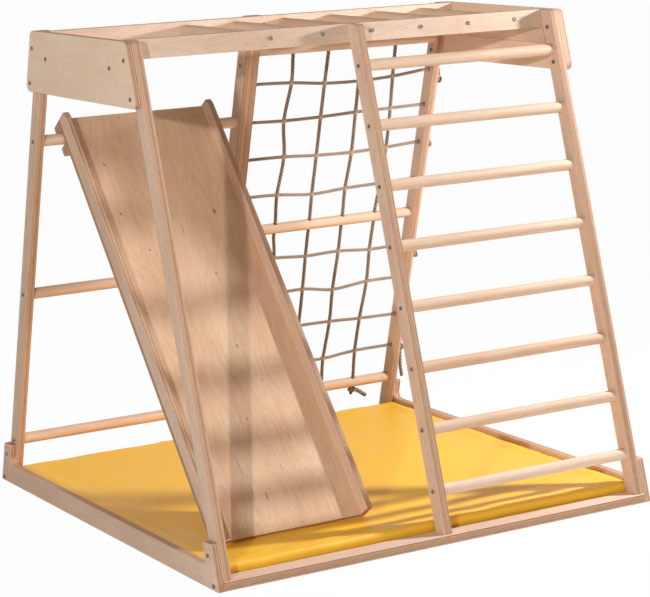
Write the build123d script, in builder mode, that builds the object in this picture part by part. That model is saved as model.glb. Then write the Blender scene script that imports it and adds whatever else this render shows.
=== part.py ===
from build123d import *
from math import asin, atan, cos, degrees, pi, radians, sin, sqrt, tan
import os

# A children's climbing frame with a hook-on slide, a ladder, overhead bars, a rope net and a floor mat.
# All sizes are in millimetres. X runs along the front, Y from the front to the back and Z up.
# The origin is on the floor under the middle of the frame.
os.makedirs("parts", exist_ok=True)

# Overall frame
LENGTH = 1200.0
FOOT_DEPTH = 1185.0
TOP_DEPTH = 514.0
HEIGHT = 1182.0

# Timber stock
BOARD_THICKNESS = 18.0
POST_THICKNESS = 21.0
POST_WIDTH = 40.5
RUNG_DIAMETER = 28.0
EDGE_ROUND = 2.0

# Base boards and rails
BASE_BOARD_HEIGHT = 50.0
EAR_TOP = 103.0
EAR_WIDTH = 39.0
EAR_INNER_RADIUS = 16.0
EAR_CORNER_RADIUS = 6.0
BASE_RAIL_HEIGHT = 21.0

# Posts, counted from the left end of the frame
MIDDLE_JOINT = 601.0
POST_CORNER_RADIUS = 12.0

# Top of the frame
END_BOARD_HEIGHT = 148.0
END_BOARD_RADIUS = 16.0
TOP_RAIL_HEIGHT = 44.0
TOP_RAIL_THICKNESS = 18.0
CLEAT_HEIGHT = 39.0

# Round bars
LEFT_TOP_RUNG_COUNT = 2
RIGHT_TOP_RUNG_COUNT = 4
TOP_RUNG_FIRST = 392.5
TOP_RUNG_BEFORE_JOINT = 70.5
TOP_RUNG_PAST_JOINT = 67.5
TOP_RUNG_LAST = 117.5
LADDER_RUNG_COUNT = 8
LADDER_RUNG_LOWEST = 114.4
LADDER_RUNG_HIGHEST_DROP = 96.7
SLIDE_RUNG_HEIGHT = 907.6
BACK_MIDDLE_RUNG_HEIGHT = 510.5
BACK_BOTTOM_RUNG_HEIGHT = 111.5
NET_TOP_RUNG_DROP = 93.0
NET_MIDDLE_RUNG_HEIGHT = 604.0
NET_BOTTOM_RUNG_HEIGHT = 116.5

# Slide
SLIDE_FROM_LEFT = 93.0
SLIDE_WIDTH = 410.0
SLIDE_REACH = 1118.0
SLIDE_BOARD_THICKNESS = 12.0
CHEEK_THICKNESS = 15.0
CHEEK_HEIGHT = 36.0
CHEEK_NOSE_LENGTH = 20.0
CHEEK_NOSE_DROP = 7.0
BATTEN_DEPTH = 30.0
UPPER_BATTEN_WIDTH = 27.0
LOWER_BATTEN_WIDTH = 21.0
LOWER_BATTEN_FLARE = 15.0
NOTCH_WIDTH = 34.0
SLIDE_GAP = 0.3

# Mat
MAT_HEIGHT = 40.0
MAT_EDGE_RADIUS = 9.0
MAT_WAIST = 3.0
MAT_GAP = 0.3

# Rope
ROPE_DIAMETER = 10.0
ROPE_FIT = 0.25
KNOT_GAP = 0.3
ROPE_STRAIGHT = 9.0
ROPE_SOCKET_DEPTH = 15.0
KNOT_DIAMETER = 24.0
KNOT_LENGTH = 17.0
KNOT_RADIUS = 6.0
SIDE_KNOT_WIDTH = 20.0
SIDE_KNOT_DEPTH = 16.0
SHORT_END_LENGTH = 52.0
SHORT_END_FALL = 28.0

# Fasteners
SHANK_DIAMETER = 5.0
HEAD_DIAMETER = 10.0
HEAD_HEIGHT = 2.6
HEAD_ROUND = 1.2
SOCKET_DIAMETER = 4.6
SOCKET_DEPTH = 1.6
FLAT_HEAD_DIAMETER = 9.0
FLAT_HEAD_ANGLE = 90.0
FLAT_HEAD_SINK = 0.5
FLAT_SOCKET_DIAMETER = 3.0
NUT_DIAMETER = 10.0
NUT_HEIGHT = 3.5
SCREW_FIT = 0.25
SCREW_BITE = 25.0
SHORT_BITE = 15.0
THIN_BITE = 8.0
END_BOLT_DROPS = (42.0, 127.0)
CLEAT_SCREW_INSET = 102.0
EAR_SCREW_HEIGHT = 75.0
BASE_SCREW_INSET = 19.5
DOUBLE_POST_BOLT_LOWEST = 160.0
DOUBLE_POST_BOLT_ABOVE_BAR = 46.0
DOUBLE_POST_BOLT_DROP = 127.0
TOP_SCREW_RISE = 2.0
CHEEK_SCREW_COUNT = 5
CHEEK_SCREW_END = 70.0
BATTEN_SCREW_COUNT = 3
BATTEN_SCREW_END = 60.0

# Routes of the net's ropes. The real net hangs a little unevenly, so each list holds how far a
# rope strays from an even spacing.
ROPE_PITCH = 104.0
FIRST_ROW_DROP = 97.0
# Sideways sway of each upright rope: at the top bar, the upper cross ropes, the middle bar, the
# lower cross ropes and the bottom bar
UPRIGHT_SWAYS = [
    [-2.5, 1.5, -8.5, 3.5, -4.5, -0.5, 7.5, 1.5, -2.5, 0.5, -0.5],
    [-0.5, -1.5, -1.5, -0.5, -0.5, 1.5, 2.5, 5.5, 6.5, 3.5, 2.5],
    [-1.5, -0.5, 1.5, 4.5, -1.5, 0.5, 1.5, -1.5, 1.5, -4.5, -0.5],
    [-2.5, 0.5, 6.5, 9.5, 5.5, -0.5, -1.5, 2.5, -4.5, -6.5, -1.5],
]
# Rise of each cross rope: at the left post, the four upright ropes and the right post
UPPER_RISES = [[10, 6, -3, -5, 0, 11], [6, 3, 4, 8, 10, 12], [3, 2, -3, -5, -1, 5], [-2, -4, -13, -7, -4, -1]]
LOWER_RISES = [
    [10.5, 13.5, 7.5, 9.5, 2.5, 5.5],
    [8, 7, 10, -3, 7, 7],
    [0.5, -0.5, 1.5, 0.5, -3.5, -5.5],
    [-5, -7, -9, -11, -2, -1],
]
# How far below its hole each outside knot hangs, by cross rope.
SIDE_KNOT_DROPS = {0: 30.0, 2: 8.0, 4: 32.0, 6: 8.0, 7: 10.0}
# The loose end hangs from the lowest outside knot: steps in X, Y and Z from the knot's foot.
TAIL_STEPS = [(0.0, 0.0, 0.0), (0.0, 0.0, -24.0), (-2.0, -3.0, -48.0), (2.0, -4.0, -74.0)]
TAIL_RUN_SHARE = 0.45

# Sizes worked out from the ones above
SLOPE = (FOOT_DEPTH - TOP_DEPTH) / 2 / HEIGHT
LEAN = atan(SLOPE)
POST_SPAN = POST_WIDTH / cos(LEAN)
TOP_RAIL_SPAN = TOP_RAIL_THICKNESS / cos(LEAN)
BASE_RAIL_DEPTH = POST_SPAN + SLOPE * BASE_RAIL_HEIGHT
RUNG_RADIUS = RUNG_DIAMETER / 2
TOP_RAIL_BOTTOM = HEIGHT - TOP_RAIL_HEIGHT
TOP_RUNG_HEIGHT = HEIGHT - TOP_RAIL_HEIGHT / 2
CLEAT_MIDDLE = TOP_RAIL_BOTTOM - CLEAT_HEIGHT / 2
LEFT_END = -LENGTH / 2
LEFT_POST_X = LEFT_END + BOARD_THICKNESS
RIGHT_POST_X = LENGTH / 2 - BOARD_THICKNESS - POST_THICKNESS
JOINT_X = LEFT_END + MIDDLE_JOINT
SCREW_HOLE_RADIUS = SHANK_DIAMETER / 2 + SCREW_FIT
ROPE_SIDE = ROPE_DIAMETER * sqrt(pi) / 2
ROPE_HOLE_RADIUS = ROPE_SIDE / sqrt(2) + ROPE_FIT
NET_TOP_RUNG_HEIGHT = HEIGHT - NET_TOP_RUNG_DROP
FRONT = -1
BACK = 1


def outer_y(z):
    """Distance from the middle plane to the posts' outer faces at height z."""
    return FOOT_DEPTH / 2 - SLOPE * z


def inner_y(z):
    """Distance from the middle plane to the posts' inner faces at height z."""
    return outer_y(z) - POST_SPAN


def axis_y(z):
    """Distance from the middle plane to the posts' centre lines at height z."""
    return outer_y(z) - POST_SPAN / 2


def leaning_strip(side, low, high, inset, span):
    """Corners, in Y and Z, of a strip that leans with the posts: inset from their outer faces."""
    return [
        (side * (outer_y(low) - inset), low),
        (side * (outer_y(low) - inset - span), low),
        (side * (outer_y(high) - inset - span), high),
        (side * (outer_y(high) - inset), high),
    ]


def spread(count, start, stop):
    """Evenly spaced places from start to stop."""
    return [start + (stop - start) * i / (count - 1) for i in range(count)]


def rectangle_corners(left, low, right, high):
    """Corners of an upright rectangle in a sketch."""
    return [(left, low), (right, low), (right, high), (left, high)]


def save(piece, name):
    """Labels a finished piece and writes its file."""
    piece.part.label = name
    export_step(piece.part, f"parts/{name}.step")


def drill(seats, depth, radius=SCREW_HOLE_RADIUS):
    """Drills a hole from each seat plane, against the plane's normal."""
    with Locations(*seats):
        Hole(radius, depth=depth)


def countersink(seats, depth):
    """Drills a hole with a conical seat for a flat head from each seat plane."""
    mouth_radius = FLAT_HEAD_DIAMETER / 2 + FLAT_HEAD_SINK + SCREW_FIT
    with Locations(*seats):
        CounterSinkHole(SCREW_HOLE_RADIUS, mouth_radius, depth, FLAT_HEAD_ANGLE)


def sideways(x, side, z, outward):
    """Seat plane of a fastener that runs along X through a post's centre line."""
    return Plane((x, side * axis_y(z), z), x_dir=(0, 1, 0), z_dir=(outward, 0, 0))


# Where the fasteners sit: planes on the faces under their heads, with normals that point outwards
LADDER_HEIGHTS = spread(LADDER_RUNG_COUNT, LADDER_RUNG_LOWEST, HEIGHT - LADDER_RUNG_HIGHEST_DROP)
SLIDE_BAY_HEIGHTS = [SLIDE_RUNG_HEIGHT, BACK_MIDDLE_RUNG_HEIGHT, BACK_BOTTOM_RUNG_HEIGHT]
NET_BAY_HEIGHTS = [NET_TOP_RUNG_HEIGHT, NET_MIDDLE_RUNG_HEIGHT, NET_BOTTOM_RUNG_HEIGHT]
TOP_RUNG_XS = spread(LEFT_TOP_RUNG_COUNT, LEFT_END + TOP_RUNG_FIRST, JOINT_X - TOP_RUNG_BEFORE_JOINT)
TOP_RUNG_XS += spread(RIGHT_TOP_RUNG_COUNT, JOINT_X + TOP_RUNG_PAST_JOINT, LENGTH / 2 - TOP_RUNG_LAST)
END_BOLT_HEIGHTS = [HEIGHT - drop for drop in END_BOLT_DROPS]
RIGHT_FACE_X = RIGHT_POST_X + POST_THICKNESS
END_BOARD_BOTTOM = HEIGHT - END_BOARD_HEIGHT

ladder_left = [sideways(JOINT_X, FRONT, z, -1) for z in LADDER_HEIGHTS]
ladder_right = [sideways(RIGHT_FACE_X, FRONT, z, 1) for z in LADDER_HEIGHTS]
slide_bay_left = [sideways(LEFT_POST_X, BACK, z, -1) for z in SLIDE_BAY_HEIGHTS]
slide_bay_right = [sideways(JOINT_X, BACK, z, 1) for z in SLIDE_BAY_HEIGHTS]
net_bay_left = [sideways(JOINT_X, BACK, z, -1) for z in NET_BAY_HEIGHTS]
net_bay_right = [sideways(RIGHT_FACE_X, BACK, z, 1) for z in NET_BAY_HEIGHTS]
DOUBLE_POST_BOLT_HEIGHTS = [
    DOUBLE_POST_BOLT_LOWEST,
    NET_MIDDLE_RUNG_HEIGHT + DOUBLE_POST_BOLT_ABOVE_BAR,
    HEIGHT - DOUBLE_POST_BOLT_DROP,
]
double_post_seats = [sideways(JOINT_X - POST_THICKNESS, BACK, z, -1) for z in DOUBLE_POST_BOLT_HEIGHTS]
double_post_nut_seats = [sideways(JOINT_X + POST_THICKNESS, BACK, z, 1) for z in DOUBLE_POST_BOLT_HEIGHTS]


def end_seats(end, side):
    """Seats of the two bolts through an end board and one corner post."""
    return [sideways(end * LENGTH / 2, side, z, end) for z in END_BOLT_HEIGHTS]


def end_nut_seats(end, side):
    """Seats of those bolts' nuts, on the corner post's inner face."""
    face = end * (LENGTH / 2 - BOARD_THICKNESS - POST_THICKNESS)
    return [sideways(face, side, z, -end) for z in END_BOLT_HEIGHTS]


def ear_seat(end, side):
    """Seat of the screw through a base board's ear and the corner post behind it."""
    return sideways(end * LENGTH / 2, side, EAR_SCREW_HEIGHT, end)


def base_seat(end, side):
    """Seat of the screw through a base board and the end of a base rail."""
    y = side * (FOOT_DEPTH / 2 - BASE_SCREW_INSET)
    return Plane((end * LENGTH / 2, y, BASE_RAIL_HEIGHT / 2), x_dir=(0, 1, 0), z_dir=(end, 0, 0))


def cleat_seat(end, side):
    """Seat of the screw through an end board and its cleat."""
    y = side * (outer_y(CLEAT_MIDDLE) - CLEAT_SCREW_INSET)
    return Plane((end * LENGTH / 2, y, CLEAT_MIDDLE), x_dir=(0, 1, 0), z_dir=(end, 0, 0))


def top_rung_seat(x, side):
    """Seat of the screw through a top rail and the end of an overhead bar, on the rail's outer face."""
    z = TOP_RUNG_HEIGHT + TOP_SCREW_RISE
    normal = (0, side * cos(LEAN), sin(LEAN))
    return Plane((x, side * inner_y(z), z), x_dir=(1, 0, 0), z_dir=normal)


def rail_seat(x, side):
    """Seat of the screw through a top rail and a post, on the rail's inner face."""
    z = TOP_RUNG_HEIGHT
    normal = (0, -side * cos(LEAN), -sin(LEAN))
    return Plane((x, side * (inner_y(z) - TOP_RAIL_SPAN), z), x_dir=(1, 0, 0), z_dir=normal)


def foot_seat(x, side):
    """Seat of the screw that comes up through a base rail into the foot of a middle post."""
    y = side * axis_y(BASE_RAIL_HEIGHT)
    return Plane((x, y, 0), x_dir=(1, 0, 0), z_dir=(0, 0, -1))


FRONT_POSTS = {
    "front_left_post": LEFT_POST_X,
    "front_middle_post": JOINT_X,
    "front_right_post": RIGHT_POST_X,
}
BACK_POSTS = {
    "back_left_post": LEFT_POST_X,
    "back_ladder_post": JOINT_X - POST_THICKNESS,
    "net_left_post": JOINT_X,
    "back_right_post": RIGHT_POST_X,
}
MIDDLE_FEET = [("front_middle_post", FRONT), ("back_ladder_post", BACK), ("net_left_post", BACK)]
POSTS_OF_SIDE = {FRONT: FRONT_POSTS, BACK: BACK_POSTS}
SIDE_NAMES = {FRONT: "front", BACK: "back"}
END_NAMES = {-1: "left", 1: "right"}


def post_middle(name, side):
    """X of a post's middle."""
    return POSTS_OF_SIDE[side][name] + POST_THICKNESS / 2


# Net geometry: a plane through the back bay's bar axes, X along the frame and Y up the lean
UP_LEAN = Vector(0, -sin(LEAN), cos(LEAN))
net_plane = Plane((0, axis_y(0), 0), x_dir=(1, 0, 0), z_dir=Vector(1, 0, 0).cross(UP_LEAN))
NET_LEFT = JOINT_X + POST_THICKNESS
NET_RIGHT = RIGHT_POST_X
ROPE_END = RUNG_RADIUS + KNOT_GAP


def up_lean(z):
    """Distance up the net's plane of a point at height z."""
    return z / cos(LEAN)


def on_net(x, distance):
    """Point of the net's plane at a distance up the lean."""
    return net_plane.from_local_coords(Vector(x, distance, 0))


UPPER_COUNT = len(UPPER_RISES)
upper_levels = spread(UPPER_COUNT + 1, NET_TOP_RUNG_HEIGHT - FIRST_ROW_DROP, NET_MIDDLE_RUNG_HEIGHT)[:-1]
lower_levels = spread(len(LOWER_RISES) + 2, NET_MIDDLE_RUNG_HEIGHT, NET_BOTTOM_RUNG_HEIGHT)[1:-1]
rows = zip(upper_levels + lower_levels, UPPER_RISES + LOWER_RISES)
CROSS_ROPES = [[level + rise for rise in rises] for level, rises in rows]
first_rope_x = (NET_LEFT + NET_RIGHT - (len(UPRIGHT_SWAYS) - 1) * ROPE_PITCH) / 2
UPRIGHT_ROPES = [[first_rope_x + i * ROPE_PITCH + sway for sway in sways] for i, sways in enumerate(UPRIGHT_SWAYS)]
TOP_BAR_LEVEL, MIDDLE_BAR_LEVEL, BOTTOM_BAR_LEVEL = 0, UPPER_COUNT + 1, len(CROSS_ROPES) + 2
BAR_LEVELS = [TOP_BAR_LEVEL, MIDDLE_BAR_LEVEL, BOTTOM_BAR_LEVEL]


def crossing(rope, row):
    """Point, in the net's plane, where an upright rope crosses a cross rope."""
    level = row + 1 if row < UPPER_COUNT else row + 2
    return (UPRIGHT_ROPES[rope][level], up_lean(CROSS_ROPES[row][rope + 1]))


def upright_route(rope):
    """Points, in the net's plane, of one upright rope from above the top bar to below the bottom bar."""
    top, middle, bottom = (up_lean(z) for z in NET_BAY_HEIGHTS)
    top_x, middle_x, bottom_x = (UPRIGHT_ROPES[rope][level] for level in BAR_LEVELS)
    straight = RUNG_RADIUS + ROPE_STRAIGHT
    crossings = [crossing(rope, row) for row in range(len(CROSS_ROPES))]
    points = [(top_x, top + ROPE_END), (top_x, top - straight)]
    points += crossings[:UPPER_COUNT]
    points += [(middle_x, middle + straight), (middle_x, middle - straight)]
    points += crossings[UPPER_COUNT:]
    points += [(bottom_x, bottom + straight), (bottom_x, bottom - ROPE_END)]
    return points


def cross_route(row):
    """Points, in the net's plane, of one cross rope from the left post's socket to the right post's hole."""
    left, right = up_lean(CROSS_ROPES[row][0]), up_lean(CROSS_ROPES[row][-1])
    points = [(NET_LEFT - ROPE_SOCKET_DEPTH, left), (NET_LEFT + ROPE_STRAIGHT, left)]
    points += [crossing(rope, row) for rope in range(len(UPRIGHT_ROPES))]
    points += [(NET_RIGHT - ROPE_STRAIGHT, right), (RIGHT_FACE_X, right)]
    return points


def bar_rope_seats(z, level):
    """Seats above a bar for the holes that its upright ropes pass through."""
    seats = []
    for rope in UPRIGHT_ROPES:
        origin = on_net(rope[level], up_lean(z) + RUNG_RADIUS)
        seats.append(Plane(origin, x_dir=(1, 0, 0), z_dir=UP_LEAN))
    return seats


def post_rope_seats(x, end, outward):
    """Seats on a post's face for the holes of the cross ropes: end is 0 at the left and -1 at the right."""
    seats = []
    for row in CROSS_ROPES:
        origin = on_net(x, up_lean(row[end]))
        seats.append(Plane(origin, x_dir=(0, 1, 0), z_dir=(outward, 0, 0)))
    return seats


# Base boards, with an ear at each end that carries a corner post
for end in (-1, 1):
    with BuildPart() as base_board:
        left_face = LEFT_END if end < 0 else LENGTH / 2 - BOARD_THICKNESS
        with BuildSketch(Plane.YZ.offset(left_face)) as outline:
            half = [
                (outer_y(0), 0),
                (outer_y(EAR_TOP), EAR_TOP),
                (outer_y(EAR_TOP) - EAR_WIDTH, EAR_TOP),
                (outer_y(BASE_BOARD_HEIGHT) - EAR_WIDTH, BASE_BOARD_HEIGHT),
            ]
            Polygon(*half, *[(-y, z) for y, z in reversed(half)], align=None)
            levels = outline.vertices().group_by(Axis.Y)
            fillet(levels[1], EAR_INNER_RADIUS)
            fillet(outline.vertices().group_by(Axis.Y)[-1], EAR_CORNER_RADIUS)
        extrude(amount=BOARD_THICKNESS)
        outer_face = base_board.faces().sort_by(Axis.X)[0 if end < 0 else -1]
        fillet(outer_face.edges().filter_by(lambda e: e.center().Z > EDGE_ROUND), EDGE_ROUND)
        drill([ear_seat(end, side) for side in (FRONT, BACK)], BOARD_THICKNESS)
        drill([base_seat(end, side) for side in (FRONT, BACK)], BOARD_THICKNESS)
    save(base_board, f"{END_NAMES[end]}_base_board")

# Base rails, which lie flat on the floor between the base boards
for side in (FRONT, BACK):
    with BuildPart() as base_rail:
        with BuildSketch(Plane.YZ.offset(LEFT_POST_X)):
            outer = side * outer_y(0)
            inner = side * (outer_y(0) - BASE_RAIL_DEPTH)
            Polygon(*rectangle_corners(outer, 0, inner, BASE_RAIL_HEIGHT), align=None)
        extrude(amount=RIGHT_FACE_X - LEFT_POST_X)
        fillet(base_rail.edges().filter_by(Axis.X).group_by(Axis.Z)[-1], EDGE_ROUND)
        drill([base_seat(end, side) for end in (-1, 1)], BOARD_THICKNESS + SCREW_BITE + SCREW_FIT)
        feet = [foot_seat(post_middle(name, at), at) for name, at in MIDDLE_FEET if at == side]
        countersink(feet, BASE_RAIL_HEIGHT)
    save(base_rail, f"{SIDE_NAMES[side]}_base_rail")

# Posts, which stand on the base rails and lean in to the top rails
for side in (FRONT, BACK):
    for name, left_x in POSTS_OF_SIDE[side].items():
        with BuildPart() as post:
            with BuildSketch(Plane.YZ.offset(left_x)) as outline:
                corners = leaning_strip(side, BASE_RAIL_HEIGHT, HEIGHT, 0, POST_SPAN)
                Polygon(*corners, align=None)
                top = outline.vertices().group_by(Axis.Y)[-1].sort_by(Axis.X)
                fillet(top[0] if side < 0 else top[-1], POST_CORNER_RADIUS)
            extrude(amount=POST_THICKNESS)
            long_edges = post.edges().filter_by(lambda e: e.length > HEIGHT / 2)
            fillet(long_edges, EDGE_ROUND)
            drill([rail_seat(left_x + POST_THICKNESS / 2, side)], TOP_RAIL_THICKNESS + SCREW_BITE)
            if (name, side) in MIDDLE_FEET:
                foot = foot_seat(left_x + POST_THICKNESS / 2, side)
                drill([foot], BASE_RAIL_HEIGHT + SCREW_BITE + SCREW_FIT)
            else:
                end = -1 if left_x == LEFT_POST_X else 1
                drill(end_seats(end, side), BOARD_THICKNESS + POST_THICKNESS)
                drill([ear_seat(end, side)], BOARD_THICKNESS + SHORT_BITE + SCREW_FIT)
            if name == "front_middle_post":
                drill(ladder_left, POST_THICKNESS)
            if name == "front_right_post":
                drill(ladder_right[:-1], POST_THICKNESS)
                countersink(ladder_right[-1:], POST_THICKNESS)
            if name == "back_left_post":
                drill(slide_bay_left, POST_THICKNESS)
            if name == "back_ladder_post":
                countersink(slide_bay_right, POST_THICKNESS)
                drill(double_post_seats, POST_THICKNESS)
            if name == "net_left_post":
                countersink(net_bay_left, POST_THICKNESS)
                drill(double_post_seats, 2 * POST_THICKNESS)
                drill(post_rope_seats(NET_LEFT, 0, 1), ROPE_SOCKET_DEPTH, ROPE_HOLE_RADIUS)
            if name == "back_right_post":
                countersink(net_bay_right[:1], POST_THICKNESS)
                drill(net_bay_right[1:], POST_THICKNESS)
                drill(post_rope_seats(RIGHT_FACE_X, -1, 1), POST_THICKNESS, ROPE_HOLE_RADIUS)
        save(post, name)

# End boards, outside the post tops
for end in (-1, 1):
    with BuildPart() as end_board:
        left_face = LEFT_END if end < 0 else LENGTH / 2 - BOARD_THICKNESS
        with BuildSketch(Plane.YZ.offset(left_face)) as outline:
            low, high = outer_y(END_BOARD_BOTTOM), outer_y(HEIGHT)
            half = [(low, END_BOARD_BOTTOM), (high, HEIGHT)]
            Polygon(*half, *[(-y, z) for y, z in reversed(half)], align=None)
            fillet(outline.vertices(), END_BOARD_RADIUS)
        extrude(amount=BOARD_THICKNESS)
        outer_face = end_board.faces().sort_by(Axis.X)[0 if end < 0 else -1]
        fillet(outer_face.edges(), EDGE_ROUND)
        for side in (FRONT, BACK):
            drill(end_seats(end, side), BOARD_THICKNESS)
            drill([cleat_seat(end, side)], BOARD_THICKNESS)
    save(end_board, f"{END_NAMES[end]}_end_board")

# Cleats, between the corner posts on the end boards' inner faces, which carry the top rails
for end in (-1, 1):
    with BuildPart() as cleat:
        with BuildSketch(Plane.YZ.offset(LEFT_POST_X if end < 0 else RIGHT_POST_X)):
            bottom = TOP_RAIL_BOTTOM - CLEAT_HEIGHT
            half = [(inner_y(bottom), bottom), (inner_y(TOP_RAIL_BOTTOM), TOP_RAIL_BOTTOM)]
            Polygon(*half, *[(-y, z) for y, z in reversed(half)], align=None)
        extrude(amount=POST_THICKNESS)
        inner_face = cleat.faces().sort_by(Axis.X)[-1 if end < 0 else 0]
        fillet(inner_face.edges().filter_by(Axis.Y).sort_by(Axis.Z)[0], EDGE_ROUND)
        seats = [cleat_seat(end, side) for side in (FRONT, BACK)]
        drill(seats, BOARD_THICKNESS + SHORT_BITE + SCREW_FIT)
    save(cleat, f"{END_NAMES[end]}_cleat")

# Top rails, which lean with the posts and hold the overhead bars
for side in (FRONT, BACK):
    with BuildPart() as top_rail:
        with BuildSketch(Plane.YZ.offset(LEFT_POST_X)):
            corners = leaning_strip(side, TOP_RAIL_BOTTOM, HEIGHT, POST_SPAN, TOP_RAIL_SPAN)
            Polygon(*corners, align=None)
        extrude(amount=RIGHT_FACE_X - LEFT_POST_X)
        fillet(top_rail.edges().filter_by(Axis.X), EDGE_ROUND / 2)
        drill([top_rung_seat(x, side) for x in TOP_RUNG_XS], TOP_RAIL_THICKNESS)
        seats = [rail_seat(post_middle(name, side), side) for name in POSTS_OF_SIDE[side]]
        drill(seats, TOP_RAIL_THICKNESS)
    save(top_rail, f"{SIDE_NAMES[side]}_top_rail")

# Overhead bars, with ends cut to the rails' lean
for number, x in enumerate(TOP_RUNG_XS, start=1):
    with BuildPart() as top_rung:
        with BuildSketch(Plane.XZ):
            with Locations((x, TOP_RUNG_HEIGHT)):
                Circle(RUNG_RADIUS)
        extrude(amount=TOP_DEPTH, both=True)
        with BuildSketch(Plane.YZ.offset(x - RUNG_RADIUS)):
            half = [(inner_y(z) - TOP_RAIL_SPAN, z) for z in (TOP_RAIL_BOTTOM, HEIGHT)]
            Polygon(*half, *[(-y, z) for y, z in reversed(half)], align=None)
        extrude(amount=RUNG_DIAMETER, mode=Mode.INTERSECT)
        seats = [top_rung_seat(x, side) for side in (FRONT, BACK)]
        drill(seats, TOP_RAIL_THICKNESS + SHORT_BITE + SCREW_FIT)
    save(top_rung, f"top_rung_{number}")


def make_bar(name, left_x, right_x, side, z, seats, rope_level=None):
    """A round bar between two posts, screwed at both ends, and drilled where the net's ropes pass."""
    with BuildPart() as bar:
        with BuildSketch(Plane.YZ.offset(left_x)):
            with Locations((side * axis_y(z), z)):
                Circle(RUNG_RADIUS)
        extrude(amount=right_x - left_x)
        drill(seats, POST_THICKNESS + SCREW_BITE + SCREW_FIT)
        if rope_level is not None:
            holes = bar_rope_seats(z, rope_level)
            drill(holes, RUNG_DIAMETER, ROPE_HOLE_RADIUS)
    save(bar, name)


# Ladder bars of the front right bay, counted from the top
for index, z in enumerate(LADDER_HEIGHTS):
    name = f"ladder_rung_{LADDER_RUNG_COUNT - index}"
    make_bar(name, NET_LEFT, RIGHT_POST_X, FRONT, z, [ladder_left[index], ladder_right[index]])

# Bars of the back left bay, the highest of which carries the slide
bay_left = LEFT_POST_X + POST_THICKNESS
bay_right = JOINT_X - POST_THICKNESS
for index, name in enumerate(["slide_rung", "back_middle_rung", "back_bottom_rung"]):
    seats = [slide_bay_left[index], slide_bay_right[index]]
    make_bar(name, bay_left, bay_right, BACK, SLIDE_BAY_HEIGHTS[index], seats)

# Bars of the back right bay, which hold the net
for index, name in enumerate(["net_top_rung", "net_middle_rung", "net_bottom_rung"]):
    seats = [net_bay_left[index], net_bay_right[index]]
    level = BAR_LEVELS[index]
    make_bar(name, NET_LEFT, NET_RIGHT, BACK, NET_BAY_HEIGHTS[index], seats, level)

# Slide: it hooks over the slide bar and its foot rests on the mat.
# Its slope follows from its reach, the bar's height and the mat's height.
UNDERSIDE = RUNG_RADIUS + SLIDE_GAP
FALL = SLIDE_RUNG_HEIGHT - MAT_HEIGHT - SLIDE_GAP
SLIDE_ANGLE = asin(FALL / sqrt(SLIDE_REACH**2 + UNDERSIDE**2)) + atan(UNDERSIDE / SLIDE_REACH)
SLIDE_HEAD = RUNG_RADIUS + SLIDE_GAP + UPPER_BATTEN_WIDTH
BOARD_TOP = UNDERSIDE + SLIDE_BOARD_THICKNESS
SLIDE_LEFT = LEFT_END + SLIDE_FROM_LEFT
UP_SLIDE = Vector(0, cos(SLIDE_ANGLE), sin(SLIDE_ANGLE))
OFF_SLIDE = Vector(0, -sin(SLIDE_ANGLE), cos(SLIDE_ANGLE))
SLIDE_BAR = Vector(0, axis_y(SLIDE_RUNG_HEIGHT), SLIDE_RUNG_HEIGHT)


def slide_plane(x):
    """Plane across the slide at x: its origin on the bar's axis, X up the slope and Y off the board."""
    return Plane(SLIDE_BAR + Vector(x, 0, 0), x_dir=UP_SLIDE, z_dir=(1, 0, 0))


def under_slide(x, up, depth):
    """Seat of a screw that comes up into the slide from below, depth under the board's underside."""
    origin = SLIDE_BAR + Vector(x, 0, 0) + UP_SLIDE * up + OFF_SLIDE * (UNDERSIDE - depth)
    return Plane(origin, x_dir=(1, 0, 0), z_dir=OFF_SLIDE * -1)


LOWER_BATTEN_TOP = SLIDE_HEAD - UPPER_BATTEN_WIDTH - NOTCH_WIDTH
LOWER_BATTEN_FOOT = LOWER_BATTEN_TOP - LOWER_BATTEN_WIDTH - LOWER_BATTEN_FLARE
cheek_lefts = [SLIDE_LEFT, SLIDE_LEFT + SLIDE_WIDTH - CHEEK_THICKNESS]
cheek_ups = spread(CHEEK_SCREW_COUNT, CHEEK_SCREW_END - SLIDE_REACH, LOWER_BATTEN_FOOT - CHEEK_SCREW_END)
cheek_seats = [[under_slide(x + CHEEK_THICKNESS / 2, up, 0) for up in cheek_ups] for x in cheek_lefts]
first_x = SLIDE_LEFT + BATTEN_SCREW_END
last_x = SLIDE_LEFT + SLIDE_WIDTH - BATTEN_SCREW_END
batten_xs = spread(BATTEN_SCREW_COUNT, first_x, last_x)
upper_ups = SLIDE_HEAD - UPPER_BATTEN_WIDTH / 2
lower_ups = LOWER_BATTEN_TOP - LOWER_BATTEN_WIDTH / 2
upper_seats = [under_slide(x, upper_ups, BATTEN_DEPTH) for x in batten_xs]
lower_seats = [under_slide(x, lower_ups, BATTEN_DEPTH) for x in batten_xs]

with BuildPart() as slide_board:
    with BuildSketch(slide_plane(SLIDE_LEFT)):
        Polygon(*rectangle_corners(-SLIDE_REACH, UNDERSIDE, SLIDE_HEAD, BOARD_TOP), align=None)
    extrude(amount=SLIDE_WIDTH)
    countersink(cheek_seats[0] + cheek_seats[1], SLIDE_BOARD_THICKNESS)
    drill(upper_seats + lower_seats, BATTEN_DEPTH + THIN_BITE + SCREW_FIT)
save(slide_board, "slide_board")

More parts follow.
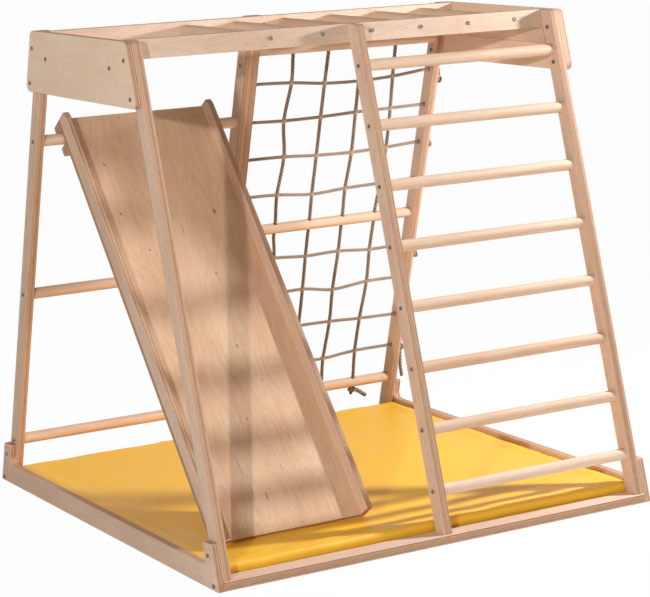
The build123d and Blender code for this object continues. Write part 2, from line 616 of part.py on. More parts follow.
for name, x, seats in zip(["slide_left_cheek", "slide_right_cheek"], cheek_lefts, cheek_seats):
    with BuildPart() as cheek:
        with BuildSketch(slide_plane(x)):
            top = BOARD_TOP + CHEEK_HEIGHT
            corners = [
                (-SLIDE_REACH, BOARD_TOP),
                (SLIDE_HEAD, BOARD_TOP),
                (SLIDE_HEAD, top - CHEEK_NOSE_DROP),
                (SLIDE_HEAD - CHEEK_NOSE_LENGTH, top),
                (-SLIDE_REACH, top),
            ]
            Polygon(*corners, align=None)
        extrude(amount=CHEEK_THICKNESS)
        top_edges = [e for e in cheek.edges().filter_by(Plane.YZ) if e.length > SLIDE_REACH]
        off_board = [e for e in top_edges if (e.center() - SLIDE_BAR).dot(OFF_SLIDE) > top - EDGE_ROUND]
        fillet(off_board, EDGE_ROUND)
        drill(seats, SLIDE_BOARD_THICKNESS + SHORT_BITE + SCREW_FIT)
    save(cheek, name)

with BuildPart() as slide_upper_batten:
    with BuildSketch(slide_plane(SLIDE_LEFT)):
        start = SLIDE_HEAD - UPPER_BATTEN_WIDTH
        bottom = UNDERSIDE - BATTEN_DEPTH
        Polygon(*rectangle_corners(start, bottom, SLIDE_HEAD, UNDERSIDE), align=None)
    extrude(amount=SLIDE_WIDTH)
    countersink(upper_seats, BATTEN_DEPTH)
save(slide_upper_batten, "slide_upper_batten")

with BuildPart() as slide_lower_batten:
    with BuildSketch(slide_plane(SLIDE_LEFT)):
        bottom = UNDERSIDE - BATTEN_DEPTH
        corners = [
            (LOWER_BATTEN_FOOT, UNDERSIDE),
            (LOWER_BATTEN_TOP - LOWER_BATTEN_WIDTH, bottom),
            (LOWER_BATTEN_TOP, bottom),
            (LOWER_BATTEN_TOP, UNDERSIDE),
        ]
        Polygon(*corners, align=None)
    extrude(amount=SLIDE_WIDTH)
    countersink(lower_seats, BATTEN_DEPTH)
save(slide_lower_batten, "slide_lower_batten")

# Mat: a padded slab inside the base, drawn in a little between its corners.
# Its rounded top edge clears the leaning posts, which overhang it.
with BuildPart() as mat:
    with BuildSketch():
        half_x = LENGTH / 2 - BOARD_THICKNESS - MAT_GAP
        edge_reach = (MAT_EDGE_RADIUS + MAT_GAP) / cos(LEAN)
        half_y = inner_y(MAT_HEIGHT - MAT_EDGE_RADIUS) + MAT_EDGE_RADIUS - edge_reach
        with BuildLine():
            ThreePointArc((-half_x, -half_y), (0, MAT_WAIST - half_y), (half_x, -half_y))
            ThreePointArc((half_x, -half_y), (half_x - MAT_WAIST, 0), (half_x, half_y))
            ThreePointArc((half_x, half_y), (0, half_y - MAT_WAIST), (-half_x, half_y))
            ThreePointArc((-half_x, half_y), (MAT_WAIST - half_x, 0), (-half_x, -half_y))
        make_face()
    extrude(amount=MAT_HEIGHT)
    fillet(mat.faces().sort_by(Axis.Z)[-1].edges(), MAT_EDGE_RADIUS)
save(mat, "mat")

# Rope net: one face with the ropes' gaps as its holes, as thick as a rope
with BuildPart() as rope_net:
    with BuildSketch(net_plane.offset(-ROPE_SIDE / 2)):
        reach = ROPE_SIDE / 2
        for rope in range(len(UPRIGHT_ROPES)):
            route = upright_route(rope)
            left = [(x - reach, v) for x, v in route]
            right = [(x + reach, v) for x, v in reversed(route)]
            Polygon(*left, *right, align=None)
        for row in range(len(CROSS_ROPES)):
            route = cross_route(row)
            lower = [(x, v - reach) for x, v in route]
            upper = [(x, v + reach) for x, v in reversed(route)]
            Polygon(*lower, *upper, align=None)
    extrude(amount=ROPE_SIDE)
save(rope_net, "rope_net")

# Knots above the top bar, below the bottom bar and outside the right post
with BuildPart() as end_knot:
    with BuildSketch(Plane.XZ) as knot_outline:
        with Locations((0, KNOT_LENGTH / 2)):
            RectangleRounded(KNOT_DIAMETER, KNOT_LENGTH, KNOT_RADIUS)
        split(bisect_by=Plane.YZ)
    revolve(axis=Axis.Z)


def bar_knots(z, level, up):
    """Seats of the knots that end the upright ropes above (up is 1) or below (-1) a bar."""
    feet = [on_net(rope[level], up_lean(z) + up * ROPE_END) for rope in UPRIGHT_ROPES]
    return [Plane(foot, x_dir=(1, 0, 0), z_dir=UP_LEAN * up) for foot in feet]


def side_hole(row):
    """Middle of a cross rope's hole in the right post's outer face."""
    return on_net(RIGHT_FACE_X, up_lean(CROSS_ROPES[row][-1]))


def side_knot_foot(row):
    """Middle of the flat foot under an outside knot, where a loose end can leave it."""
    return side_hole(row) + Vector(SIDE_KNOT_DEPTH / 2, 0, -SIDE_KNOT_DROPS[row] - SIDE_KNOT_WIDTH / 2)


upper_knots = bar_knots(NET_TOP_RUNG_HEIGHT, TOP_BAR_LEVEL, 1)
lower_knots = bar_knots(NET_BOTTOM_RUNG_HEIGHT, BOTTOM_BAR_LEVEL, -1)
fall = radians(SHORT_END_FALL)
short_end_start = lower_knots[-1].from_local_coords(Vector(0, 0, KNOT_LENGTH / 2))
short_end = Plane(short_end_start, x_dir=(0, 1, 0), z_dir=(cos(fall), 0, -sin(fall)))
tail_foot = side_knot_foot(len(CROSS_ROPES) - 1)

with BuildPart() as rope_knots:
    with Locations(*upper_knots, *lower_knots):
        add(end_knot.part)
    with BuildSketch(short_end):
        Circle(ROPE_DIAMETER / 2)
    extrude(amount=SHORT_END_LENGTH)
    for row, drop in SIDE_KNOT_DROPS.items():
        hole = side_hole(row)
        with BuildSketch(Plane.YZ.offset(RIGHT_FACE_X)):
            SlotCenterPoint((hole.Y, hole.Z - drop / 2), (hole.Y, hole.Z), SIDE_KNOT_WIDTH)
        extrude(amount=SIDE_KNOT_DEPTH)
    with BuildSketch(Plane(tail_foot, x_dir=(1, 0, 0), z_dir=(0, 0, 1))):
        Circle(ROPE_DIAMETER / 2)
    extrude(amount=SIDE_KNOT_WIDTH / 2)
save(rope_knots, "rope_knots")

# Loose rope end outside the right post: straight runs joined by arcs
tail_points = [tail_foot + Vector(*step) for step in TAIL_STEPS]
tail_radii = []
for before, corner, after in zip(tail_points, tail_points[1:], tail_points[2:]):
    first, second = corner - before, after - corner
    half_turn = radians(first.get_angle(second)) / 2
    tail_radii.append(TAIL_RUN_SHARE * min(first.length, second.length) / tan(half_turn))
with BuildPart() as net_tail:
    with BuildLine() as tail_route:
        FilletPolyline(*tail_points, radius=tail_radii)
    with BuildSketch(Plane(tail_foot, x_dir=(1, 0, 0), z_dir=(0, 0, -1))):
        Circle(ROPE_DIAMETER / 2)
    sweep()
save(net_tail, "net_tail")
tail_length = sum(edge.length for edge in tail_route.edges())
print("tail radii", [round(radius) for radius in tail_radii], "length", round(tail_length, 1))
print("tail volume share", round(net_tail.part.volume / (pi * ROPE_DIAMETER**2 / 4 * tail_length), 4))


def screw(length):
    """A low-headed screw: a rounded head with a six-sided socket on its seat, the shank below it."""
    with BuildPart() as piece:
        Cylinder(HEAD_DIAMETER / 2, HEAD_HEIGHT, align=(Align.CENTER, Align.CENTER, Align.MIN))
        fillet(piece.edges().sort_by(Axis.Z)[-1], HEAD_ROUND)
        with BuildSketch(Plane.XY.offset(HEAD_HEIGHT)):
            RegularPolygon(SOCKET_DIAMETER / 2, 6)
        extrude(amount=-SOCKET_DEPTH, mode=Mode.SUBTRACT)
        Cylinder(SHANK_DIAMETER / 2, length, align=(Align.CENTER, Align.CENTER, Align.MAX))
    return piece.part


def flat_screw(length):
    """A flat-headed screw that lies a little below its seat, in the conical mouth of its hole."""
    head_height = (FLAT_HEAD_DIAMETER - SHANK_DIAMETER) / 2 / tan(radians(FLAT_HEAD_ANGLE) / 2)
    down = (Align.CENTER, Align.CENTER, Align.MAX)
    with BuildPart() as piece:
        with Locations((0, 0, -FLAT_HEAD_SINK)):
            Cylinder(SHANK_DIAMETER / 2, length - FLAT_HEAD_SINK, align=down)
            Cone(SHANK_DIAMETER / 2, FLAT_HEAD_DIAMETER / 2, head_height, align=down)
        with BuildSketch(Plane.XY.offset(-FLAT_HEAD_SINK)):
            RegularPolygon(FLAT_SOCKET_DIAMETER / 2, 6)
        extrude(amount=-SOCKET_DEPTH, mode=Mode.SUBTRACT)
    return piece.part


def make_fasteners(name, groups):
    """One node of separate fasteners: each group is a fastener and the seats that it sits in."""
    with BuildPart() as fasteners:
        for piece, seats in groups:
            with Locations(*seats):
                add(piece)
    save(fasteners, name)


with BuildPart() as nut:
    Cylinder(NUT_DIAMETER / 2, NUT_HEIGHT, align=(Align.CENTER, Align.CENTER, Align.MIN))
    fillet(nut.edges().sort_by(Axis.Z)[-1], HEAD_ROUND)
    Hole(SCREW_HOLE_RADIUS)

frame_corners = [(end, side) for end in (-1, 1) for side in (FRONT, BACK)]
end_bolt_seats = [seat for corner in frame_corners for seat in end_seats(*corner)]
end_nut_places = [seat for corner in frame_corners for seat in end_nut_seats(*corner)]
ear_seats = [ear_seat(*corner) for corner in frame_corners]
base_seats = [base_seat(*corner) for corner in frame_corners]
cleat_seats = [cleat_seat(*corner) for corner in frame_corners]
top_rung_seats = [top_rung_seat(x, side) for x in TOP_RUNG_XS for side in (FRONT, BACK)]
post_places = [(post_middle(name, side), side) for side in (FRONT, BACK) for name in POSTS_OF_SIDE[side]]
rail_seats = [rail_seat(*place) for place in post_places]
foot_seats = [foot_seat(post_middle(name, side), side) for name, side in MIDDLE_FEET]
hidden_seats = ladder_right[-1:] + slide_bay_right + net_bay_left + net_bay_right[:1]

end_bolt = screw(BOARD_THICKNESS + POST_THICKNESS + NUT_HEIGHT / 2)
double_post_bolt = screw(2 * POST_THICKNESS + NUT_HEIGHT / 2)
short_screw = screw(BOARD_THICKNESS + SHORT_BITE)
base_screw = screw(BOARD_THICKNESS + SCREW_BITE)
rung_screw = screw(POST_THICKNESS + SCREW_BITE)
hidden_screw = flat_screw(POST_THICKNESS + SCREW_BITE)
top_rung_screw = screw(TOP_RAIL_THICKNESS + SHORT_BITE)
rail_screw = screw(TOP_RAIL_THICKNESS + SCREW_BITE - SCREW_FIT)
foot_screw = flat_screw(BASE_RAIL_HEIGHT + SCREW_BITE)
cheek_screw = flat_screw(SLIDE_BOARD_THICKNESS + SHORT_BITE)
batten_screw = flat_screw(BATTEN_DEPTH + THIN_BITE)

make_fasteners("end_board_bolts", [(end_bolt, end_bolt_seats)])
make_fasteners("double_post_bolts", [(double_post_bolt, double_post_seats)])
make_fasteners("bolt_nuts", [(nut.part, end_nut_places + double_post_nut_seats)])
make_fasteners("cleat_screws", [(short_screw, cleat_seats)])
make_fasteners("ear_screws", [(short_screw, ear_seats)])
make_fasteners("base_screws", [(base_screw, base_seats)])
make_fasteners("ladder_screws", [(rung_screw, ladder_left + ladder_right[:-1])])
make_fasteners("back_rung_screws", [(rung_screw, slide_bay_left + net_bay_right[1:])])
make_fasteners("hidden_rung_screws", [(hidden_screw, hidden_seats)])
make_fasteners("top_rung_screws", [(top_rung_screw, top_rung_seats)])
make_fasteners("rail_screws", [(rail_screw, rail_seats)])
make_fasteners("foot_screws", [(foot_screw, foot_seats)])
cheek_group = (cheek_screw, cheek_seats[0] + cheek_seats[1])
batten_group = (batten_screw, upper_seats + lower_seats)
make_fasteners("slide_screws", [cheek_group, batten_group])
print("slide angle", round(degrees(SLIDE_ANGLE), 3), "bar", tuple(SLIDE_BAR), "lean", round(degrees(LEAN), 3))
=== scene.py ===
# %% [markdown]
# # A children's climbing frame, dressed
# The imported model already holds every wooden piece, screw and bar at its real size and place.
# This lesson gives those pieces their finishes, and makes what a solid can't show: the twisted
# ropes of the net, their knots, a loose rope end and a padded mat.
# The whole scene is in metres, with Z up and the origin on the floor under the frame's middle.

# %% Load the frame
import math

import bpy
import numpy as np
from mathutils import Matrix, Vector


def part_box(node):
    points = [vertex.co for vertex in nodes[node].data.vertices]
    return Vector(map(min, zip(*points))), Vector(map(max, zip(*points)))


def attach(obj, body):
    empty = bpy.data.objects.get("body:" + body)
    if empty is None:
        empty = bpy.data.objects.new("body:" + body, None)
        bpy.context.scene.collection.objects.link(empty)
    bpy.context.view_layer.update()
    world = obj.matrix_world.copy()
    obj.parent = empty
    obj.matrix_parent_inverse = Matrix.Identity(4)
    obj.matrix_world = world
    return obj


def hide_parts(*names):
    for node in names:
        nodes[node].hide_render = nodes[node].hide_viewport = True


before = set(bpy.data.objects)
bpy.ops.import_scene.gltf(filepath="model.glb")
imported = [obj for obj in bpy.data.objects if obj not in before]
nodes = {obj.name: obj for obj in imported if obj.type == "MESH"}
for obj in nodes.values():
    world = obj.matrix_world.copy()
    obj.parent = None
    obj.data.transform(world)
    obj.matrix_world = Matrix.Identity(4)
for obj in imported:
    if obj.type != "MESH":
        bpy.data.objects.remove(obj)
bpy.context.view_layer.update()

# %% [markdown]
# ## Where things are
# A scene that measures its frame stays right when a size changes, so the lean of the posts comes
# from the net's bars, and the slope of the slide from the corners at the foot of its board.
# Typing the angles in again would be shorter, but they could then drift from the model.

# %% Measure the frame
MM = 0.001


def middle(node):
    """Middle of a node's box."""
    low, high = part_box(node)
    return (low + high) / 2


top_bar, middle_bar, bottom_bar = (middle(f"net_{level}_rung") for level in ("top", "middle", "bottom"))
BAR_RADIUS = (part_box("net_top_rung")[1].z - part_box("net_top_rung")[0].z) / 2
SLOPE = (bottom_bar.y - top_bar.y) / (top_bar.z - bottom_bar.z)
LEAN = math.atan(SLOPE)
UP_LEAN = np.array([0, -math.sin(LEAN), math.cos(LEAN)])
NET_NORMAL = np.array([0, math.cos(LEAN), math.sin(LEAN)])
NET_LEFT, NET_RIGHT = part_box("net_left_post")[1].x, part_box("back_right_post")[0].x
RIGHT_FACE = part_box("back_right_post")[1].x


def vertices_of(node):
    """A node's vertices as one array."""
    places = np.zeros(len(nodes[node].data.vertices) * 3, np.float32)
    nodes[node].data.vertices.foreach_get("co", places)
    return places.reshape(-1, 3).astype(float)


board = vertices_of("slide_board")
off_slide = (board[board[:, 1].argmin()] - board[board[:, 2].argmin()]) * (0, 1, 1)
OFF_SLIDE = off_slide / np.linalg.norm(off_slide)
UP_SLIDE = np.array([0, OFF_SLIDE[2], -OFF_SLIDE[1]])
print("lean", round(math.degrees(LEAN), 2), "slide", round(math.degrees(math.acos(UP_SLIDE[1])), 2))

# %% [markdown]
# ## The camera
# The picture is taken from about six metres away with a long lens, so the frame's lines run
# almost parallel. Aiming a camera at a target can't give the slight roll of this picture, so the
# three axes are worked out from yaw, pitch and roll and put into the camera's matrix.

# %% Camera
CAMERA_PLACE = Vector((-2.8546, -4.8795, 1.57795))
CAMERA_YAW, CAMERA_PITCH, CAMERA_ROLL = (math.radians(a) for a in (30.729, -10.894, -1.802))
CAMERA_LENS = 128.2
CAMERA_SENSOR = 36.0


def camera_matrix(place, yaw, pitch, roll):
    """Columns are the camera's right, up and backward axes: forward follows yaw and pitch, and
    the level right and up axes then turn about it by roll."""
    forward = Vector((math.sin(yaw) * math.cos(pitch), math.cos(yaw) * math.cos(pitch), math.sin(pitch)))
    level = Vector((math.cos(yaw), -math.sin(yaw), 0))
    upright = level.cross(forward)
    right = level * math.cos(roll) + upright * math.sin(roll)
    up = upright * math.cos(roll) - level * math.sin(roll)
    return Matrix.Translation(place) @ Matrix((right, up, -forward)).transposed().to_4x4()


camera = bpy.data.objects.new("camera", bpy.data.cameras.new("camera"))
camera.data.lens = CAMERA_LENS
camera.data.sensor_width = CAMERA_SENSOR
camera.matrix_world = camera_matrix(CAMERA_PLACE, CAMERA_YAW, CAMERA_PITCH, CAMERA_ROLL)
bpy.context.scene.collection.objects.link(camera)
bpy.context.scene.camera = camera
print("camera", tuple(round(x, 3) for x in camera.location))

# %% [markdown]
# ## Surfaces from arrays
# Ropes, knots and the mat are all rings of points joined to the next ring. One function turns
# such a stack of rings into a mesh, either closed with a point at each end or joined end to
# start like a link. Blender's own curve bevel is quicker to set up, but it can't swell a rope or
# wind its strands.

# %% From rings to a mesh
def ring_faces(rows, columns, looped):
    """Quads between neighbouring rings, as index arrays: each goes from ring r to ring r+1 and
    from column c to c+1, and the last column meets the first. A looped stack also joins its
    last ring to its first."""
    row, column = np.meshgrid(np.arange(rows if looped else rows - 1), np.arange(columns), indexing="ij")
    near, far = row * columns, (row + 1) % rows * columns
    after = (column + 1) % columns
    quads = np.stack([near + column, near + after, far + after, far + column], axis=-1)
    return quads.reshape(-1, 4), row.reshape(-1), column.reshape(-1)


def stack_of_rings(rings, lengths, looped=False):
    """A part of a mesh: vertices, faces and each corner's (distance along, share around).
    An open stack gets a fan of triangles to the middle of its first and last rings."""
    rows, columns = rings.shape[:2]
    quads, row, column = ring_faces(rows, columns, looped)
    along = np.append(lengths, lengths[-1] + lengths[1] - lengths[0])
    share = np.stack([column, column + 1, column + 1, column], axis=-1) / columns
    reach = np.stack([along[row], along[row], along[row + 1], along[row + 1]], axis=-1)
    uv = np.stack([reach, share], axis=-1).reshape(-1, 2)
    places, faces = rings.reshape(-1, 3), quads.tolist()
    if not looped:
        around = np.arange(columns)
        after = (around + 1) % columns
        first, last = rows * columns, (rows - 1) * columns
        caps = [np.stack([after, around, around * 0 + first], axis=-1)]
        caps += [np.stack([last + around, last + after, around * 0 + first + 1], axis=-1)]
        places = np.vstack([places, rings[0].mean(0), rings[-1].mean(0)])
        for cap, end in zip(caps, (along[0], along[rows - 1])):
            faces += cap.tolist()
            corner = np.stack([around / columns, after / columns, around / columns], axis=-1)
            uv = np.vstack([uv, np.stack([np.full(corner.shape, end), corner], axis=-1).reshape(-1, 2)])
    return {"places": places, "faces": faces, "uv": uv}


print("three rings of eight points give", len(ring_faces(3, 8, False)[0]), "faces")

# %% [markdown]
# A rope is hundreds of rings and the net is twelve ropes, so several such parts go into one
# object. One function does this for every soft piece, and it also fixes the piece to its body of
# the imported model, so that it moves with that body in every pose.

# %% From parts to a piece
def make_piece(name, parts, material, body, marks=None):
    """Joins parts into one mesh object that rides on a body. marks is a value for each vertex."""
    starts = np.cumsum([0] + [len(part["places"]) for part in parts])
    faces = [[i + start for i in face] for part, start in zip(parts, starts) for face in part["faces"]]
    mesh = bpy.data.meshes.new(name)
    mesh.from_pydata(np.vstack([part["places"] for part in parts]), [], faces)
    turns = np.vstack([part["uv"] for part in parts])
    mesh.uv_layers.new(name="turns").data.foreach_set("uv", turns.ravel())
    mesh.polygons.foreach_set("use_smooth", [True] * len(mesh.polygons))
    if marks is not None:
        mesh.attributes.new("opened", "FLOAT", "POINT").data.foreach_set("value", marks.astype(np.float32))
    mesh.materials.append(material)
    mesh.update()
    piece = bpy.data.objects.new(name, mesh)
    bpy.context.scene.collection.objects.link(piece)
    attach(piece, body)
    print(name, len(mesh.vertices), "vertices", len(mesh.polygons), "faces")
    return piece


# %% [markdown]
# ## Smooth lines
# A rope bends softly through the places where others cross it. A Catmull-Rom curve passes
# through each of its points, which a NURBS line doesn't, and that keeps the crossings together.
# The loose end of the net is different: it hangs free, so it is a NURBS line in its own cell.

# %% Lines through points
def smooth_line(points, step):
    """A Catmull-Rom curve: between two points it is half of 2 P1 + (P2 - P0) f
    + (2 P0 - 5 P1 + 4 P2 - P3) f^2 + (3 P1 - 3 P2 + P3 - P0) f^3, then points about a step apart."""
    points = np.array(points, float)
    padded = np.vstack([2 * points[0] - points[1], points, 2 * points[-1] - points[-2]])
    f = np.linspace(0, len(points) - 1, 40 * len(points))
    at = np.minimum(f.astype(int), len(points) - 2)
    f = (f - at)[:, None]
    before, start, stop, after = (padded[at + i] for i in range(4))
    line = 2 * start + (stop - before) * f + (2 * before - 5 * start + 4 * stop - after) * f**2
    line = (line + (3 * start - 3 * stop + after - before) * f**3) / 2
    return even_line(line, step)


def even_line(line, step):
    """The same line with its points about a step apart, and each one's distance along."""
    reach = np.append(0, np.cumsum(np.linalg.norm(np.diff(line, axis=0), axis=1)))
    lengths = np.linspace(0, reach[-1], max(2, round(reach[-1] / step) + 1))
    return np.stack([np.interp(lengths, reach, line[:, i]) for i in range(3)], axis=-1), lengths


def normalised(vectors):
    """Vectors of unit length."""
    return vectors / np.linalg.norm(vectors, axis=-1, keepdims=True)


print("a line of", len(smooth_line([(0, 0, 0), (0, 0, 1)], 0.1)[1]), "points a tenth of its length apart")

# %% [markdown]
# ## Three-strand rope
# Natural rope is three strands laid round each other, which shows as slanting lumps along it.
# A bump map of that would vanish in the outline, so the lumps are in the surface: the radius
# rises and falls three times round the rope, and the pattern turns once in every lay length.

# %% Rope surface
ROPE_RADIUS = 5 * MM
ROPE_LAY = 30 * MM
ROPE_STEP = 2.2 * MM
ROPE_COLUMNS = 14
GROOVE_DEPTH = 0.3
STRANDS = 3
OPENING_REACH = 1.3 * ROPE_RADIUS


def rope_rings(line, lengths, radius, reference, looped=False, lay=ROPE_LAY):
    """Rings along a line: each point is line + R (cos a side + sin a up), where side is square to
    the line and the reference, and R = radius (1 - depth (1 - |cos(1.5 (a - turn))|)), with turn
    growing by a full circle in each lay length."""
    tangent = np.gradient(line, axis=0)
    if looped:
        tangent = np.roll(line, -1, axis=0) - np.roll(line, 1, axis=0)
    tangent = normalised(tangent)
    side = normalised(np.cross(tangent, reference))
    up = np.cross(side, tangent)
    a = -np.linspace(0, 2 * math.pi, ROPE_COLUMNS, endpoint=False)[None, :]
    turn = 2 * math.pi * lengths[:, None] / lay
    size = np.broadcast_to(radius, lengths.shape)[:, None]
    lobes = np.abs(np.cos(STRANDS / 2 * (a - turn)))
    r = (size * (1 - GROOVE_DEPTH * (1 - lobes)))[..., None]
    outward = np.cos(a)[..., None] * side[:, None] + np.sin(a)[..., None] * up[:, None]
    return line[:, None] + r * outward


def rope(points, reference, radius=ROPE_RADIUS, swellings=(), swell=0.22):
    """A rope through points. It swells and opens where others pass through it, as a bell of
    1 + swell exp(-(distance / opening reach)^2)."""
    line, lengths = smooth_line(points, ROPE_STEP)
    opened = np.zeros(len(lengths))
    for place in swellings:
        distance = np.linalg.norm(line - place, axis=1)
        opened = np.maximum(opened, np.exp(-((distance / OPENING_REACH) ** 2)))
    part = stack_of_rings(rope_rings(line, lengths, radius * (1 + swell * opened), reference), lengths)
    part["marks"] = np.append(np.repeat(opened, ROPE_COLUMNS), [0, 0])
    return part


print("rope", 2 * ROPE_RADIUS / MM, "mm thick, one turn in", ROPE_LAY / MM, "mm")

# %% [markdown]
# ## Building shader trees
# Every finish here is a small graph of nodes. Two helpers keep the graphs readable: one adds a
# node with its settings and inputs, and the other opens a node group with named sockets, so that
# an effect such as grain is built once and used by many materials.

# %% Helpers for shader nodes
def srgb(red, green, blue):
    """A colour picked on a screen, from 0 to 255, as the linear values that shaders use."""
    shares = np.array([red, green, blue]) / 255
    linear = np.where(shares <= 0.04045, shares / 12.92, ((shares + 0.055) / 1.055) ** 2.4)
    return (*linear.tolist(), 1.0)


def node(tree, kind, inputs=None, **settings):
    """Adds a node. An input is a socket to link from or a value to set."""
    made = tree.nodes.new("ShaderNode" + kind)
    for key, value in settings.items():
        setattr(made, key, value)
    for key, value in (inputs or {}).items():
        if isinstance(value, bpy.types.NodeSocket):
            tree.links.new(value, made.inputs[key])
        else:
            made.inputs[key].default_value = value
    return made


def maths(tree, operation, *values, clamp=False):
    """The output of a Math node."""
    return node(tree, "Math", dict(enumerate(values)), operation=operation, use_clamp=clamp).outputs[0]


def vector_maths(tree, operation, *values, output=0):
    """The output of a Vector Math node."""
    return node(tree, "VectorMath", dict(enumerate(values)), operation=operation).outputs[output]


def noise(tree, place, scales, detail=2.0, roughness=0.5):
    """A noise value whose lumps are about 1 / scale metres in each direction."""
    stretched = vector_maths(tree, "MULTIPLY", place, scales)
    inputs = {"Vector": stretched, "Scale": 1.0, "Detail": detail, "Roughness": roughness}
    return node(tree, "TexNoise", inputs).outputs["Fac"]


def between(tree, value, low, high, start=0.0, stop=1.0):
    """Maps low..high smoothly to start..stop."""
    inputs = {"Value": value, "From Min": low, "From Max": high, "To Min": start, "To Max": stop}
    return node(tree, "MapRange", inputs, interpolation_type="SMOOTHSTEP").outputs[0]


def mixed(tree, share, first, second):
    """First colour at share 0 and second at share 1."""
    return node(tree, "Mix", {0: share, 6: first, 7: second}, data_type="RGBA").outputs[2]


print("screen grey 128 is", round(srgb(128, 128, 128)[0], 3), "in linear light")

# %% Helpers for groups and materials
def new_group(name, inputs, outputs):
    """A node group with named sockets. Returns the tree, its input sockets and its output node."""
    tree = bpy.data.node_groups.new(name, "ShaderNodeTree")
    for socket, kind in inputs.items():
        tree.interface.new_socket(socket, in_out="INPUT", socket_type="NodeSocket" + kind)
    for socket, kind in outputs.items():
        tree.interface.new_socket(socket, in_out="OUTPUT", socket_type="NodeSocket" + kind)
    return tree, tree.nodes.new("NodeGroupInput").outputs, tree.nodes.new("NodeGroupOutput")


def send(tree, end, **values):
    """Links values to a group's outputs."""
    for name, value in values.items():
        tree.links.new(value, end.inputs[name])


def use_group(tree, group, inputs):
    """Places a group and returns its outputs."""
    made = tree.nodes.new("ShaderNodeGroup")
    made.node_tree = group
    for key, value in inputs.items():
        if isinstance(value, bpy.types.NodeSocket):
            tree.links.new(value, made.inputs[key])
        else:
            made.inputs[key].default_value = value
    return made.outputs


def new_material(name, **values):
    """A material with one Principled shader, whose steady values are set on its own sockets."""
    material = bpy.data.materials.new(name)
    material.use_nodes = True
    shader = material.node_tree.nodes["Principled BSDF"]
    for key, value in values.items():
        shader.inputs[key.replace("_", " ")].default_value = value
    return material, material.node_tree, shader


def bumped(tree, shader, height, distance, strength=1.0):
    """Feeds a height to the shader's normal. The distance is in metres."""
    bump = node(tree, "Bump", {"Height": height, "Distance": distance, "Strength": strength})
    tree.links.new(bump.outputs[0], shader.inputs["Normal"])


print("node groups before the first finish:", len(bpy.data.node_groups))

# %% [markdown]
# ## Birch plywood
# The frame is cut from birch plywood: pale veneer on the faces and thin brown layers on the cut
# edges. Each board has its own grain direction, so one group turns the object's coordinates into
# the board's: along the grain, across it and through the layers. The direction in which a face
# looks then says whether veneer or layers show there.

# %% Board axes
axes_group, start, end = new_group(
    "board axes", {"Along": "Vector", "Through": "Vector"}, {"Place": "Vector", "Edge": "Float"}
)
coordinates = node(axes_group, "TexCoord").outputs
across = vector_maths(axes_group, "CROSS_PRODUCT", start["Through"], start["Along"])
parts = [
    vector_maths(axes_group, "DOT_PRODUCT", coordinates["Object"], direction, output=1)
    for direction in (start["Along"], across, start["Through"])
]
place = node(axes_group, "CombineXYZ", dict(enumerate(parts))).outputs[0]
facing = vector_maths(axes_group, "DOT_PRODUCT", coordinates["Normal"], start["Through"], output=1)
edge = between(axes_group, maths(axes_group, "ABSOLUTE", facing), 0.55, 0.85, 1.0, 0.0)
send(axes_group, end, Place=place, Edge=edge)
print(axes_group.name)

# %% [markdown]
# Birch veneer is peeled from the log, so its growth rings come out as wide wavy loops. Contour
# lines of a soft stretched noise look just like that: the sine of the noise times a large number.
# Fine streaks, short brown flecks and a few pin knots lie over them.

# %% Birch figure
figure_group, start, end = new_group(
    "birch figure", {"Place": "Vector"}, {"Tone": "Float", "Flecks": "Float", "Height": "Float"}
)
cloud = noise(figure_group, start["Place"], (3, 9, 9), 4.0, 0.6)
loops = noise(figure_group, start["Place"], (3.2, 15, 15), 1.0)
lines = maths(figure_group, "SINE", maths(figure_group, "MULTIPLY", loops, 70.0))
streaks = noise(figure_group, start["Place"], (9, 130, 130), 3.0, 0.6)
fine = noise(figure_group, start["Place"], (60, 900, 900), 2.0)
tone = maths(figure_group, "MULTIPLY_ADD", cloud, 1.5, -0.25)
tone = maths(figure_group, "MULTIPLY_ADD", lines, 0.07, tone)
tone = maths(figure_group, "MULTIPLY_ADD", maths(figure_group, "SUBTRACT", streaks, 0.5), 0.28, tone)
tone = maths(figure_group, "MULTIPLY_ADD", maths(figure_group, "SUBTRACT", fine, 0.5), 0.12, tone, clamp=True)
flecks = between(figure_group, noise(figure_group, start["Place"], (120, 700, 700), 0.0), 0.7, 0.8)
knot_place = vector_maths(figure_group, "MULTIPLY", start["Place"], (3.0, 6.0, 0.0))
knots = node(figure_group, "TexVoronoi", {"Vector": knot_place, "Scale": 1.0, "Randomness": 1.0}).outputs
pin = between(figure_group, knots["Distance"], 0.012, 0.04, 1.0, 0.0)
flecks = maths(figure_group, "MAXIMUM", maths(figure_group, "MULTIPLY", flecks, 0.5), pin)
height = maths(figure_group, "SUBTRACT", streaks, flecks)
send(figure_group, end, Tone=tone, Flecks=flecks, Height=height)
print(figure_group.name)

# %% [markdown]
# A cut edge shows the plies: every second one is end grain and looks darker, and no two are
# equally dark. The number of the ply, found by rounding down, picks a random shade for it.

# %% Layer lines
PLY = 1.4 * MM
layer_group, start, end = new_group("layer lines", {"Place": "Vector"}, {"Dark": "Float", "Height": "Float"})
through = node(layer_group, "SeparateXYZ", {0: start["Place"]}).outputs[2]
wander = noise(layer_group, start["Place"], (9, 9, 0), 1.0)
ply = maths(layer_group, "DIVIDE", through, PLY)
ply = maths(layer_group, "MULTIPLY_ADD", wander, 0.5, ply)
number = maths(layer_group, "FLOOR", ply)
shade = node(layer_group, "TexWhiteNoise", {"W": number}, noise_dimensions="1D").outputs["Value"]
odd = maths(layer_group, "MODULO", maths(layer_group, "ABSOLUTE", number), 2.0)
share = maths(layer_group, "FRACT", ply)
glue = between(layer_group, maths(layer_group, "PINGPONG", share, 0.5), 0.0, 0.16, 1.0, 0.0)
dark = maths(layer_group, "MULTIPLY", odd, between(layer_group, shade, 0.1, 1.0, 0.12, 1.0))
